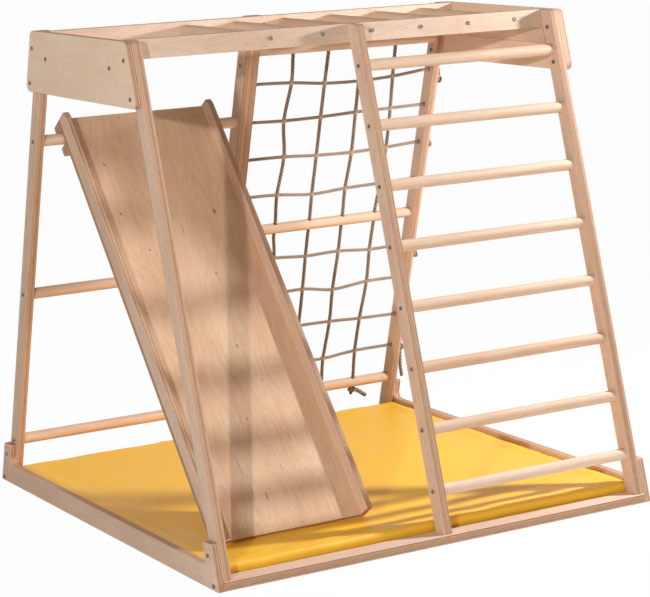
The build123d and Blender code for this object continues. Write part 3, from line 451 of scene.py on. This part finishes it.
dark = maths(layer_group, "MULTIPLY_ADD", glue, 0.3, dark)
rough = noise(layer_group, start["Place"], (45, 45, 900), 3.0, 0.65)
dark = maths(layer_group, "MULTIPLY_ADD", maths(layer_group, "SUBTRACT", rough, 0.5), 0.9, dark, clamp=True)
send(layer_group, end, Dark=dark, Height=rough)
print(layer_group.name)

# %% Plywood material
FACE_PALE, FACE_DEEP = srgb(240, 214, 193), srgb(214, 176, 148)
EDGE_PALE, EDGE_DARK = srgb(220, 178, 143), srgb(118, 74, 50)
FLECK_BROWN = srgb(138, 92, 62)
# Painted light: the end boards are paler than the other boards, standing in for fill light on their shaded
# sides
END_PALE_PAINTED_FILL, END_DEEP_PAINTED_FILL = srgb(255, 230, 206), srgb(238, 204, 174)
SLIDE_PALE, SLIDE_DEEP = srgb(238, 203, 168), srgb(202, 158, 122)


def plywood(name, along, through, pale=FACE_PALE, deep=FACE_DEEP, spots=()):
    """Birch plywood with its grain along one direction and its plies stacked through another.
    A spot is (along, across, length, width) of a knot or a dark streak, in metres."""
    material, tree, shader = new_material(name, Roughness=0.62, Specular_IOR_Level=0.35)
    board = use_group(tree, axes_group, {"Along": along, "Through": through})
    figure = use_group(tree, figure_group, {"Place": board["Place"]})
    layers = use_group(tree, layer_group, {"Place": board["Place"]})
    flecks = figure["Flecks"]
    for spot_along, spot_across, length, width in spots:
        away = vector_maths(tree, "SUBTRACT", board["Place"], (spot_along, spot_across, 0))
        away = vector_maths(tree, "MULTIPLY", away, (2 / length, 2 / width, 0))
        ring = vector_maths(tree, "LENGTH", away, output=1)
        flecks = maths(tree, "MAXIMUM", flecks, between(tree, ring, 0.35, 1.15, 0.7, 0.0))
    face = mixed(tree, figure["Tone"], deep, pale)
    face = mixed(tree, flecks, face, FLECK_BROWN)
    cut = mixed(tree, layers["Dark"], EDGE_PALE, EDGE_DARK)
    tree.links.new(mixed(tree, board["Edge"], face, cut), shader.inputs["Base Color"])
    bumped(tree, shader, mixed(tree, board["Edge"], figure["Height"], layers["Height"]), 0.15 * MM, 0.5)
    return material


print("plies every", round(PLY / MM, 2), "mm")

# %% [markdown]
# A post's grain runs up its own slope and a rail's runs along X, so every kind of board gets the
# same material with other directions. Grain that ran one way over the whole frame would be
# simpler, and it would look printed on.

# %% Boards and posts
def dress(material, *names):
    """Gives CAD nodes a material through their own slots."""
    for name in names:
        for slot in nodes[name].material_slots:
            slot.material = material
    print(material.name, "on", len(names), "nodes")


ALONG_X, ALONG_Y, UPWARD = (1, 0, 0), (0, 1, 0), (0, 0, 1)
sides = {"front": -1, "back": 1}  # which way along Y each side stands
for side, sign in sides.items():
    lean_up = (0, -sign * math.sin(LEAN), math.cos(LEAN))
    lean_out = (0, sign * math.cos(LEAN), math.sin(LEAN))
    posts = [name for name in nodes if name.startswith((side, "net_left")) and name.endswith("_post")]
    posts = [name for name in posts if middle(name).y * sign > 0]
    dress(plywood(f"{side}_post_plywood", lean_up, ALONG_X), *posts)
    dress(plywood(f"{side}_rail_plywood", ALONG_X, lean_out), f"{side}_top_rail")
# The end boards get the paler colours of painted fill light
dress(plywood("end_plywood_painted_fill", ALONG_Y, ALONG_X, END_PALE_PAINTED_FILL, END_DEEP_PAINTED_FILL), "left_end_board", "right_end_board")
low_and_inner = [name for name in nodes if name.endswith(("base_board", "cleat"))]
dress(plywood("base_board_plywood", ALONG_Y, ALONG_X), *low_and_inner)
dress(plywood("base_rail_plywood", ALONG_X, UPWARD), "front_base_rail", "back_base_rail")

# %% [markdown]
# ## The slide
# The slide's board is a warmer sheet, and a few knots and a dark streak show on it. Random dots
# would put knots anywhere, so these are given one by one, in metres along and across the board.

# %% Slide plywood
SLIDE_SPOTS = [
    (0.805, 0.434, 0.011, 0.008), (0.664, 0.437, 0.012, 0.008), (0.935, 0.351, 0.008, 0.006),
    (0.920, 0.143, 0.008, 0.006), (0.599, 0.291, 0.034, 0.0028), (0.470, 0.247, 0.010, 0.007),
    (0.269, 0.264, 0.011, 0.008), (0.556, 0.396, 0.009, 0.006), (0.170, 0.234, 0.010, 0.004),
    (0.077, 0.310, 0.012, 0.005), (0.013, 0.220, 0.030, 0.003), (-0.040, 0.374, 0.070, 0.0026),
    (-0.122, 0.333, 0.026, 0.006), (-0.110, 0.366, 0.050, 0.0026), (-0.058, 0.270, 0.030, 0.0026),
]
dress(plywood("slide_plywood", UP_SLIDE, OFF_SLIDE, SLIDE_PALE, SLIDE_DEEP, SLIDE_SPOTS), "slide_board")
dress(plywood("cheek_plywood", UP_SLIDE, ALONG_X), "slide_left_cheek", "slide_right_cheek")
dress(plywood("batten_plywood", ALONG_X, OFF_SLIDE), "slide_upper_batten", "slide_lower_batten")

# %% [markdown]
# ## Turned bars
# The bars are beech dowels. Beech shows long soft streaks and many short dark flecks, and each
# bar comes from another plank, so its tint differs. Noise that is read without the direction
# along the bar gives one value for each bar.

# %% Turned beech
STREAK_STRETCH = 14.0  # how much longer a streak is than it is wide
beech_group, start, end = new_group(
    "turned beech", {"Along": "Vector"}, {"Tone": "Float", "Flecks": "Float", "Height": "Float"}
)
place = node(beech_group, "TexCoord").outputs["Object"]
reach = vector_maths(beech_group, "DOT_PRODUCT", place, start["Along"], output=1)
level = node(beech_group, "VectorMath", {0: start["Along"], "Scale": reach}, operation="SCALE").outputs[0]
cross_section = vector_maths(beech_group, "SUBTRACT", place, level)
lengthwise = node(beech_group, "CombineXYZ", {0: reach, 1: 0.0, 2: 0.0}).outputs[0]
narrow = (STREAK_STRETCH, STREAK_STRETCH, STREAK_STRETCH)
grain_place = vector_maths(beech_group, "MULTIPLY_ADD", cross_section, narrow, lengthwise)
each = noise(beech_group, cross_section, (5.3, 5.3, 5.3), 0.0)
streaks = noise(beech_group, grain_place, (9, 9, 9), 3.0)
flecks = between(beech_group, noise(beech_group, grain_place, (70, 70, 70), 1.0), 0.62, 0.75)
tone = maths(beech_group, "MULTIPLY_ADD", maths(beech_group, "SUBTRACT", each, 0.5), 1.4, streaks, clamp=True)
height = maths(beech_group, "SUBTRACT", streaks, flecks)
send(beech_group, end, Tone=tone, Flecks=flecks, Height=height)
print(beech_group.name)

# %% Bars
BEECH_PALE, BEECH_DEEP, BEECH_FLECK = srgb(242, 214, 188), srgb(216, 172, 136), srgb(150, 100, 70)


def beech(name, along):
    """Turned beech with its grain along one direction."""
    material, tree, shader = new_material(name, Roughness=0.6, Specular_IOR_Level=0.35)
    figure = use_group(tree, beech_group, {"Along": along})
    colour = mixed(tree, figure["Tone"], BEECH_DEEP, BEECH_PALE)
    colour = mixed(tree, maths(tree, "MULTIPLY", figure["Flecks"], 0.35), colour, BEECH_FLECK)
    tree.links.new(colour, shader.inputs["Base Color"])
    bumped(tree, shader, figure["Height"], 0.1 * MM, 0.4)
    return material


bars = [name for name in nodes if "rung" in name and "screws" not in name]
overhead = [name for name in bars if name.startswith("top_rung")]
dress(beech("overhead_beech", ALONG_Y), *overhead)
dress(beech("bar_beech", ALONG_X), *[name for name in bars if name not in overhead])

# %% [markdown]
# ## Screws and bolts
# The heads are plain zinc-coated steel. At this size a slightly uneven roughness does more than
# any scratch would.

# %% Steel
steel, tree, shader = new_material("screw_steel", Metallic=1.0)
tarnish = noise(tree, node(tree, "TexCoord").outputs["Object"], (260, 260, 260), 3.0)
tree.links.new(between(tree, tarnish, 0.3, 0.7, 0.28, 0.5), shader.inputs["Roughness"])
grey = mixed(tree, tarnish, srgb(112, 102, 92), srgb(172, 162, 150))
tree.links.new(grey, shader.inputs["Base Color"])
dress(steel, *[name for name in nodes if name.endswith(("screws", "bolts", "nuts"))])

# %% [markdown]
# ## Rope fibre
# The rope is a brown natural fibre. Its pattern has to follow the strands round the rope, so the
# material reads the UV map that was made with the surface: distance along, and share around.
# The grooves between strands are coloured dark as painted shade, and short fibres run along each strand.

# %% Rope material
twist_group, start, end = new_group(
    "rope twist", {"Lay": "Float"}, {"Groove": "Float", "Fibre": "Float", "Height": "Float"}
)
flat = node(twist_group, "SeparateXYZ", {0: node(twist_group, "UVMap", uv_map="turns").outputs[0]}).outputs
turn = maths(twist_group, "ADD", flat[1], maths(twist_group, "DIVIDE", flat[0], start["Lay"]))
strand = maths(twist_group, "FRACT", maths(twist_group, "MULTIPLY_ADD", turn, float(STRANDS), 0.5))
# The groove mask says where painted shade goes in the colour, and it also lowers the bump
groove = between(twist_group, maths(twist_group, "PINGPONG", strand, 0.5), 0.07, 0.36, 1.0, 0.0)
fibre_place = node(twist_group, "CombineXYZ", {0: flat[0], 1: strand, 2: 0.0}).outputs[0]
fibre = noise(twist_group, fibre_place, (160, 9, 0), 3.0, 0.6)
send(twist_group, end, Groove=groove, Fibre=fibre, Height=maths(twist_group, "SUBTRACT", fibre, groove))
print(twist_group.name)


def rope_fibre(name, pale, deep, painted_groove_shade):
    """Laid natural rope, paler where it is opened by another rope, with painted shade in the grooves between
    its strands.
    """
    material, tree, shader = new_material(name, Roughness=0.88, Sheen_Weight=0.15)
    twist = use_group(tree, twist_group, {"Lay": ROPE_LAY})
    blotch = noise(tree, node(tree, "TexCoord").outputs["Object"], (22, 22, 22), 2.0)
    share = maths(tree, "MULTIPLY_ADD", blotch, 0.7, maths(tree, "MULTIPLY", twist["Fibre"], 0.6))
    colour = mixed(tree, maths(tree, "SUBTRACT", share, 0.15, clamp=True), deep, pale)
    # Painted shade: the grooves between strands get a nearly black colour
    colour = mixed(tree, maths(tree, "MULTIPLY", twist["Groove"], 0.95), colour, painted_groove_shade)
    opened = node(tree, "Attribute", attribute_name="opened").outputs["Fac"]
    colour = mixed(tree, maths(tree, "MULTIPLY", opened, 0.7), colour, OPENED_ROPE)
    tree.links.new(colour, shader.inputs["Base Color"])
    bumped(tree, shader, twist["Height"], 0.5 * MM, 0.8)
    return material


# %% Rope colours
OPENED_ROPE = srgb(222, 176, 140)
# The third colour of each rope is the painted shade in its grooves
upright_fibre = rope_fibre("upright_rope", srgb(214, 184, 154), srgb(134, 108, 88), srgb(30, 21, 17))
cross_fibre = rope_fibre("cross_rope", srgb(230, 200, 170), srgb(158, 130, 108), srgb(36, 26, 21))
print(upright_fibre.name, cross_fibre.name)

# %% [markdown]
# ## The net
# Four ropes hang between the bars and eight go across. On the real net each cross rope is pulled
# through the opened strands of the uprights, and nothing is quite straight. The lists below are
# each rope's sway from an even spacing, in millimetres, as the photograph shows it.

# %% Net routes
ROPE_PITCH = 104 * MM
FIRST_ROW_DROP = 97 * MM
# Sideways sway of each upright rope at the top bar, the upper rows, the middle bar, the lower
# rows and the bottom bar
UPRIGHT_SWAYS = np.array([
    [-2.5, 1.5, -8.5, 3.5, -4.5, -0.5, 7.5, 1.5, -2.5, 0.5, -0.5],
    [-0.5, -1.5, -1.5, -0.5, -0.5, 1.5, 2.5, 5.5, 6.5, 3.5, 2.5],
    [-1.5, -0.5, 1.5, 4.5, -1.5, 0.5, 1.5, -1.5, 1.5, -4.5, -0.5],
    [-2.5, 0.5, 6.5, 9.5, 5.5, -0.5, -1.5, 2.5, -4.5, -6.5, -1.5],
]) * MM
# Rise of each cross rope above its even place, at the left post, the uprights and the right post
UPPER_RISES = np.array([
    [10, 6, -3, -5, 0, 11], [6, 3, 4, 8, 10, 12], [3, 2, -3, -5, -1, 5], [-2, -4, -13, -7, -4, -1],
]) * MM
LOWER_RISES = np.array([
    [10.5, 13.5, 7.5, 9.5, 2.5, 5.5], [8, 7, 10, -3, 7, 7],
    [0.5, -0.5, 1.5, 0.5, -3.5, -5.5], [-5, -7, -9, -11, -2, -1],
]) * MM
upper_rows, lower_rows = len(UPPER_RISES), len(LOWER_RISES)
upper_levels = np.linspace(top_bar.z - FIRST_ROW_DROP, middle_bar.z, upper_rows + 1)[:-1]
lower_levels = np.linspace(middle_bar.z, bottom_bar.z, lower_rows + 2)[1:-1]
row_heights = np.vstack([upper_levels[:, None] + UPPER_RISES, lower_levels[:, None] + LOWER_RISES])
rope_middles = (NET_LEFT + NET_RIGHT) / 2 + (np.arange(len(UPRIGHT_SWAYS)) - 1.5) * ROPE_PITCH
rope_xs = rope_middles[:, None] + UPRIGHT_SWAYS
crossing_xs = np.delete(rope_xs, [0, upper_rows + 1, -1], axis=1)


def on_net(x, z):
    """Points of the net's plane, which leans with the posts."""
    x, z = np.broadcast_arrays(np.asarray(x, float), np.asarray(z, float))
    return np.stack([x, bottom_bar.y - SLOPE * (z - bottom_bar.z), z], axis=-1)


crossings = on_net(crossing_xs.T, row_heights[:, 1:-1])
print(crossings.shape[0], "cross ropes by", crossings.shape[1], "upright ropes")

# %% Net ropes
ROPE_STRAIGHT = 9 * MM  # the stiff part of a rope beside a hole
BAR_STRAIGHT = (BAR_RADIUS + ROPE_STRAIGHT) * math.cos(LEAN)
KNOT_REACH = (BAR_RADIUS + 0.3 * MM) * math.cos(LEAN)
ROPE_SOCKET = 14 * MM
CROSS_ROPE_RADIUS = 0.93 * ROPE_RADIUS  # pulled tighter than the upright ropes


def net_rope(line, **settings):
    """A rope that lies in the net's plane."""
    return rope(line, NET_NORMAL, **settings)


def upright(column):
    """One upright rope, from its knot above the top bar to its knot below the bottom bar."""
    xs = rope_xs[column]
    top_x, middle_x, bottom_x = xs[0], xs[upper_rows + 1], xs[-1]
    line = np.vstack([
        on_net(top_x, [top_bar.z + KNOT_REACH, top_bar.z, top_bar.z - BAR_STRAIGHT]),
        crossings[:upper_rows, column],
        on_net(middle_x, [middle_bar.z + BAR_STRAIGHT, middle_bar.z - BAR_STRAIGHT]),
        crossings[upper_rows:, column],
        on_net(bottom_x, [bottom_bar.z + BAR_STRAIGHT, bottom_bar.z, bottom_bar.z - KNOT_REACH]),
    ])
    return net_rope(line, swellings=crossings[:, column])


def across(row):
    """One cross rope, from its socket in the left post to its hole in the right post."""
    left, right = row_heights[row, 0], row_heights[row, -1]
    line = np.vstack([
        on_net([NET_LEFT - ROPE_SOCKET, NET_LEFT + ROPE_STRAIGHT], left),
        crossings[row],
        on_net([NET_RIGHT - ROPE_STRAIGHT, RIGHT_FACE], right),
    ])
    return net_rope(line, radius=CROSS_ROPE_RADIUS)


uprights = [upright(i) for i in range(len(UPRIGHT_SWAYS))]
opened = np.hstack([part["marks"] for part in uprights])
net = make_piece("net_upright_ropes", uprights, upright_fibre, "frame", opened)
crosses = [across(i) for i in range(len(row_heights))]
cross_net = make_piece("net_cross_ropes", crosses, cross_fibre, "frame")
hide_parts("rope_net")
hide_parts("rope_net")

# %% [markdown]
# ## Knots
# Each rope ends in a pulled-tight overhand knot. A trefoil is the same knot with its ends joined,
# and when it is drawn in until the rope touches itself, it looks like the real lump.

# %% Knot shapes
KNOT_WIDTH, KNOT_LENGTH = 24 * MM, 17 * MM
SIDE_KNOT_WIDTH, SIDE_KNOT_DEPTH = 20 * MM, 16 * MM
KNOT_STRAND = 4.4 * MM


def knot(centre, axis, width, length, turn=0.0):
    """A trefoil about an axis: (sin t + 2 sin 2t, cos t - 2 cos 2t, -sin 3t), each part scaled
    until the knot is as wide and long as it should be."""
    t = np.linspace(0, 2 * math.pi, 90, endpoint=False)
    spread = (width / 2 - KNOT_STRAND) / 3
    rise = length / 2 - KNOT_STRAND
    axis = normalised(np.array(axis, float))
    first = normalised(np.cross(axis, (0.3, 1, 0.2)))
    second = np.cross(axis, first)
    x, y = np.sin(t) + 2 * np.sin(2 * t), np.cos(t) - 2 * np.cos(2 * t)
    x, y = x * math.cos(turn) - y * math.sin(turn), x * math.sin(turn) + y * math.cos(turn)
    flat = spread * (x[:, None] * first + y[:, None] * second)
    line = np.array(centre) + flat - rise * np.sin(3 * t)[:, None] * axis
    lengths = np.append(0, np.cumsum(np.linalg.norm(np.diff(line, axis=0), axis=1)))
    total = lengths[-1] + np.linalg.norm(line[0] - line[-1])
    lay = total / round(total / ROPE_LAY)
    return stack_of_rings(rope_rings(line, lengths, KNOT_STRAND, axis, True, lay), lengths, True)


print("knots", KNOT_WIDTH / MM, "mm wide and", KNOT_LENGTH / MM, "mm long")

# %% Knots of the net
# How far each outside knot hangs below its hole, by the cross rope's row
SIDE_KNOT_DROPS = {0: 30 * MM, 2: 8 * MM, 4: 32 * MM, 6: 8 * MM, 7: 10 * MM}
SHORT_END_LENGTH = 52 * MM
SHORT_END_FALL = math.radians(28)
SHORT_END_RADIUS = 1.25 * ROPE_RADIUS
SHORT_END_BEND = np.array([0, 0, 4 * MM])
KNOT_STAND_OFF = 2 * MM

# Every knot is turned by another angle, so that no two look alike
knots = []
for x_top, x_bottom in zip(rope_xs[:, 0], rope_xs[:, -1]):
    above = on_net(x_top, top_bar.z) + UP_LEAN * (BAR_RADIUS + KNOT_LENGTH / 2)
    below = on_net(x_bottom, bottom_bar.z) - UP_LEAN * (BAR_RADIUS + KNOT_LENGTH / 2)
    knots += [knot(above, UP_LEAN, KNOT_WIDTH, KNOT_LENGTH, 40 * x_top)]
    knots += [knot(below, UP_LEAN, KNOT_WIDTH, KNOT_LENGTH, 70 * x_bottom)]
    knots += [rope([below, below - UP_LEAN * 0.9 * KNOT_LENGTH], (1, 0, 0))]
short_start = on_net(rope_xs[-1, -1], bottom_bar.z) - UP_LEAN * (BAR_RADIUS + KNOT_LENGTH / 2)
short_way = np.array([math.cos(SHORT_END_FALL), 0, -math.sin(SHORT_END_FALL)])
short_middle = short_start + short_way * 0.4 * SHORT_END_LENGTH + SHORT_END_BEND
short_points = [short_start, short_middle, short_start + short_way * SHORT_END_LENGTH]
knots += [rope(short_points, (0, 1, 0), radius=SHORT_END_RADIUS)]
for row, drop in SIDE_KNOT_DROPS.items():
    hole = on_net(RIGHT_FACE, row_heights[row, -1])
    centre = hole + np.array([SIDE_KNOT_DEPTH / 2 + KNOT_STAND_OFF, 0, -drop])
    out = np.array([0.55 * SIDE_KNOT_DEPTH, 0, -1 * MM])
    knots += [rope([hole - np.array([4 * MM, 0, 0]), hole + out, centre], (0, 1, 0))]
    knots += [knot(centre, (0.15, 0.2, 1), SIDE_KNOT_WIDTH, SIDE_KNOT_WIDTH, 1.3 * row)]
tail_start = centre - np.array([KNOT_STAND_OFF, 0, SIDE_KNOT_WIDTH / 2])
knots += [rope([tail_start + np.array([0, 0, SIDE_KNOT_WIDTH / 2]), tail_start], (0, 1, 0))]
knot_piece = make_piece("net_knots", knots, upright_fibre, "frame")
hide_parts("rope_knots")

# %% [markdown]
# ## The loose end
# Below the lowest outside knot a hand's width of rope hangs free. Its route is a NURBS line with
# the same points as the solid, and the rope's surface then follows points read from that line.

# %% Tail
TAIL_STEPS = np.array([(0, 0, 0), (0, 0, -24), (-2, -3, -48), (2, -4, -74)]) * MM


def nurbs_line(points, order=3):
    """Points of a NURBS line through its two end points, which its middle points pull on."""
    curve = bpy.data.curves.new("route", "CURVE")
    curve.dimensions = "3D"
    curve.resolution_u = 24
    spline = curve.splines.new("NURBS")
    spline.points.add(len(points) - 1)
    spline.points.foreach_set("co", np.hstack([points, np.ones((len(points), 1))]).ravel())
    spline.order_u = order
    spline.use_endpoint_u = True
    holder = bpy.data.objects.new("route", curve)
    mesh = bpy.data.meshes.new_from_object(holder)
    line = np.array([vertex.co for vertex in mesh.vertices], float)
    bpy.data.objects.remove(holder)
    bpy.data.curves.remove(curve)
    bpy.data.meshes.remove(mesh)
    return line


tail_line, tail_lengths = even_line(nurbs_line(tail_start + TAIL_STEPS), ROPE_STEP)
tail_part = stack_of_rings(rope_rings(tail_line, tail_lengths, ROPE_RADIUS, (0, 1, 0)), tail_lengths)
tail = make_piece("net_tail_rope", [tail_part], upright_fibre, "frame")
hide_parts("net_tail")
print("tail", round(float(tail_lengths[-1]), 4), "m")

# %% [markdown]
# ## The mat
# The mat is a slab of foam in a tight cover of coated cloth. Its top edge is soft and puffs up a
# little over the foam, with small puckers where the cover is pulled round. It is one closed
# stack of rings: from the middle of the top, out over the edge, down the sides and back
# underneath. A simulated cloth would wrinkle more than this tight cover does.

# %% Mat outline
mat_low, mat_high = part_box("mat")
MAT_HALF = np.array([mat_high.x, mat_high.y]) - 0.4 * MM
MAT_CORNER = 16 * MM
MAT_TOP = 39.4 * MM
MAT_ROUND = 12 * MM
RIM_PUFF, RIM_PLACE, RIM_WIDTH, RIM_CHANGE = 3.6 * MM, 27 * MM, 20 * MM, 0.7
SWELL, FINE_SWELL, SWELL_FADE = 0.9 * MM, 0.5 * MM, 80 * MM
PUCKER = 0.9 * MM
MAT_WAIST = 3 * MM
TOP_CENTRE_GAP, FLAT_END, RIM_START, UNDER_START = 4 * MM, 60 * MM, 55 * MM, 20 * MM
UNDERSIDE = 0.6 * MM
SIDE_TUCK = 1.5 * MM
MAT_COLUMNS = 760


def outline(inset):
    """A rounded rectangle, inset from the mat's outline, as evenly spaced points: corner arcs of
    what is left of the corner radius, joined by straight sides that draw in at the middle."""
    half = MAT_HALF - inset
    radius = max(MAT_CORNER - inset, min(2 * MM, half.min() / 2))
    arc = np.linspace(0, math.pi / 2, 12)
    corners = []
    for quarter, (sx, sy) in enumerate([(1, 1), (-1, 1), (-1, -1), (1, -1)]):
        a = arc + quarter * math.pi / 2
        x, y = sx * (half[0] - radius) + radius * np.cos(a), sy * (half[1] - radius) + radius * np.sin(a)
        corners += [np.stack([x, y, 0 * a], axis=-1)]
    ring = np.vstack(corners + [corners[0][:1]])
    reach = np.append(0, np.cumsum(np.linalg.norm(np.diff(ring, axis=0), axis=1)))
    at = np.linspace(0, reach[-1], MAT_COLUMNS, endpoint=False)
    ring = np.stack([np.interp(at, reach, ring[:, i]) for i in range(3)], axis=-1)
    bow = np.cos(math.pi / 2 * np.clip(ring[:, 1::-1] / MAT_HALF[::-1], -1, 1)) ** 2
    ring[:, :2] *= 1 - MAT_WAIST * bow / MAT_HALF
    return ring, at / reach[-1]


print("mat", (MAT_HALF * 2).round(4), "m")

# %% Mat rings
def waves(share, counts, seed):
    """A gentle wave round the mat: sines of whole counts with random sizes and starts."""
    dice = np.random.default_rng(seed)
    sizes, starts = dice.uniform(0.4, 1, len(counts)), dice.uniform(0, 2 * math.pi, len(counts))
    return (sizes * np.sin(2 * math.pi * share[:, None] * np.array(counts) + starts)).sum(1) / sizes.sum()


def mat_rings():
    """Rings from the middle of the top to the middle of the underside. On the top, the height
    is the flat top plus a rim puff exp(-((inset - place) / width)^2) and soft waves; round the
    edge it follows a quarter circle; the side then goes straight down."""
    rings = []
    flat = np.linspace(MAT_HALF[1] - TOP_CENTRE_GAP, FLAT_END, 24)
    for inset in np.concatenate([flat, np.linspace(RIM_START, MAT_ROUND, 16)]):
        ring, share = outline(inset)
        puff = RIM_PUFF * np.exp(-(((inset - RIM_PLACE) / RIM_WIDTH) ** 2))
        puff = puff * (1 + RIM_CHANGE * waves(share, [9, 14, 23, 37], 3))
        fade = min(1.0, inset / SWELL_FADE)
        swell = np.sin(7 * ring[:, 0] + 1) * np.sin(8 * ring[:, 1] + 2)
        swell = SWELL * swell + FINE_SWELL * np.sin(31 * ring[:, 0] + 11 * ring[:, 1])
        ring[:, 2] = MAT_TOP + puff + swell * fade
        rings.append(ring)
    edge_height = rings[-1][:, 2].copy()
    for angle in np.linspace(0, math.pi / 2, 9)[1:]:
        ring, share = outline(MAT_ROUND * (1 - math.sin(angle)))
        pucker = PUCKER * waves(share, [31, 53, 71, 97], 5) * math.sin(2 * angle)
        ring[:, 2] = edge_height - MAT_ROUND * (1 - math.cos(angle)) + pucker
        rings.append(ring)
    wall = rings[-1][:, 2].copy()
    for part in np.linspace(0, 1, 7)[1:]:
        ring, _ = outline(SIDE_TUCK * part**4)
        ring[:, 2] = wall * (1 - part) + UNDERSIDE * part
        rings.append(ring)
    for inset in np.linspace(UNDER_START, MAT_HALF[1] - TOP_CENTRE_GAP, 8):
        ring, _ = outline(inset)
        ring[:, 2] = UNDERSIDE
        rings.append(ring)
    return np.array(rings)


rings = mat_rings()
print(len(rings), "rings of", MAT_COLUMNS, "points")

# %% Mat material
MAT_PALE, MAT_DEEP = srgb(255, 205, 58), srgb(255, 186, 38)
cover, tree, shader = new_material("mat_cover", Roughness=0.5, Specular_IOR_Level=0.5)
place = node(tree, "TexCoord").outputs["Object"]
leather = node(tree, "TexVoronoi", {"Vector": place, "Scale": 620.0}, feature="DISTANCE_TO_EDGE").outputs[0]
soft = noise(tree, place, (9, 9, 9), 3.0)
tree.links.new(mixed(tree, soft, MAT_DEEP, MAT_PALE), shader.inputs["Base Color"])
tree.links.new(between(tree, soft, 0.3, 0.7, 0.44, 0.56), shader.inputs["Roughness"])
bumped(tree, shader, between(tree, leather, 0.0, 0.25), 0.12 * MM, 0.6)
print(cover.name)

# %% Mat
steps = np.linalg.norm(np.diff(rings[:, 0], axis=0), axis=1)
mat_part = stack_of_rings(rings, np.append(0, np.cumsum(steps)))
mat = make_piece("padded_mat", [mat_part], cover, "frame")
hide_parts("mat")
print("mat height", round(float(rings[..., 2].max()) / MM, 1), "mm")

# %% [markdown]
# ## Light, floor and background
# Two small lamps make the crossing shadows on the slide: one stands just outside the right end,
# and the other far off to the front left. An even sky fills the shade. The floor is pale and
# looks white to the camera, but it still takes the shadow of the frame.

# %% Lamps
FRONT_LAMP = {"place": (-4.151, -4.0, 2.0), "power": 480, "radius": 0.06, "colour": (1.0, 1.0, 1.0)}
SIDE_LAMP = {"place": (1.24, -0.583, 1.372), "power": 64, "radius": 0.045, "colour": (0.97, 1.0, 1.06)}


def lamp(name, place, power, radius, colour, falloff=None):
    """A small round lamp. A falloff of Linear or Constant keeps near things from glaring."""
    data = bpy.data.lights.new(name, "POINT")
    data.energy = power
    data.shadow_soft_size = radius
    data.color = colour
    made = bpy.data.objects.new(name, data)
    made.location = place
    bpy.context.scene.collection.objects.link(made)
    if falloff:
        data.use_nodes = True
        emission = data.node_tree.nodes["Emission"]
        slowed = node(data.node_tree, "LightFalloff", {"Strength": 1.0, "Smooth": 0.0})
        data.node_tree.links.new(slowed.outputs[falloff], emission.inputs["Strength"])
    return made


lamp("front_lamp", **FRONT_LAMP)
lamp("side_lamp", **SIDE_LAMP, falloff="Linear")
print(len(bpy.data.lights), "lamps")

# %% [markdown]
# The camera and glossy rays see a white surrounding, while the light that falls on the frame from
# it is weak and warm, as it is between pale wooden boards. A real white room of that brightness
# would wash out the shadows.

# %% Sky
SKY = 0.24
SHADE_TINT = (1.0, 0.9, 0.79, 1)
world = bpy.data.worlds.new("studio")
bpy.context.scene.world = world
world.use_nodes = True
tree = world.node_tree
rays = node(tree, "LightPath").outputs
glossy = maths(tree, "MAXIMUM", rays["Is Glossy Ray"], rays["Is Transmission Ray"])
seen = maths(tree, "MAXIMUM", rays["Is Camera Ray"], glossy)
strength = maths(tree, "MULTIPLY_ADD", seen, 1 - SKY, SKY)
tree.links.new(strength, tree.nodes["Background"].inputs["Strength"])
tree.links.new(mixed(tree, seen, SHADE_TINT, (1, 1, 1, 1)), tree.nodes["Background"].inputs["Color"])
print("sky", SKY)

# %% Floor
FLOOR_HALF = 60.0
FLOOR_GLOW = 0.97
floor_mesh = bpy.data.meshes.new("floor")
floor_corners = np.array([(-1, -1, 0), (1, -1, 0), (1, 1, 0), (-1, 1, 0)]) * FLOOR_HALF
floor_mesh.from_pydata(floor_corners, [], [(0, 1, 2, 3)])
floor = bpy.data.objects.new("floor", floor_mesh)
bpy.context.scene.collection.objects.link(floor)
floor_material, tree, shader = new_material("floor", Roughness=0.9)
shader.inputs["Base Color"].default_value = (0.9, 0.9, 0.9, 1)
rays = node(tree, "LightPath").outputs
glow = node(tree, "Emission", {"Color": (1, 1, 1, 1), "Strength": 1.0})
share = maths(tree, "MULTIPLY", rays["Is Camera Ray"], FLOOR_GLOW)
blend = node(tree, "MixShader", {0: share, 1: shader.outputs[0], 2: glow.outputs[0]})
tree.links.new(blend.outputs[0], tree.nodes["Material Output"].inputs["Surface"])
floor_mesh.materials.append(floor_material)
bpy.context.scene.view_settings.view_transform = "Standard"
print("floor", 2 * FLOOR_HALF, "m wide")
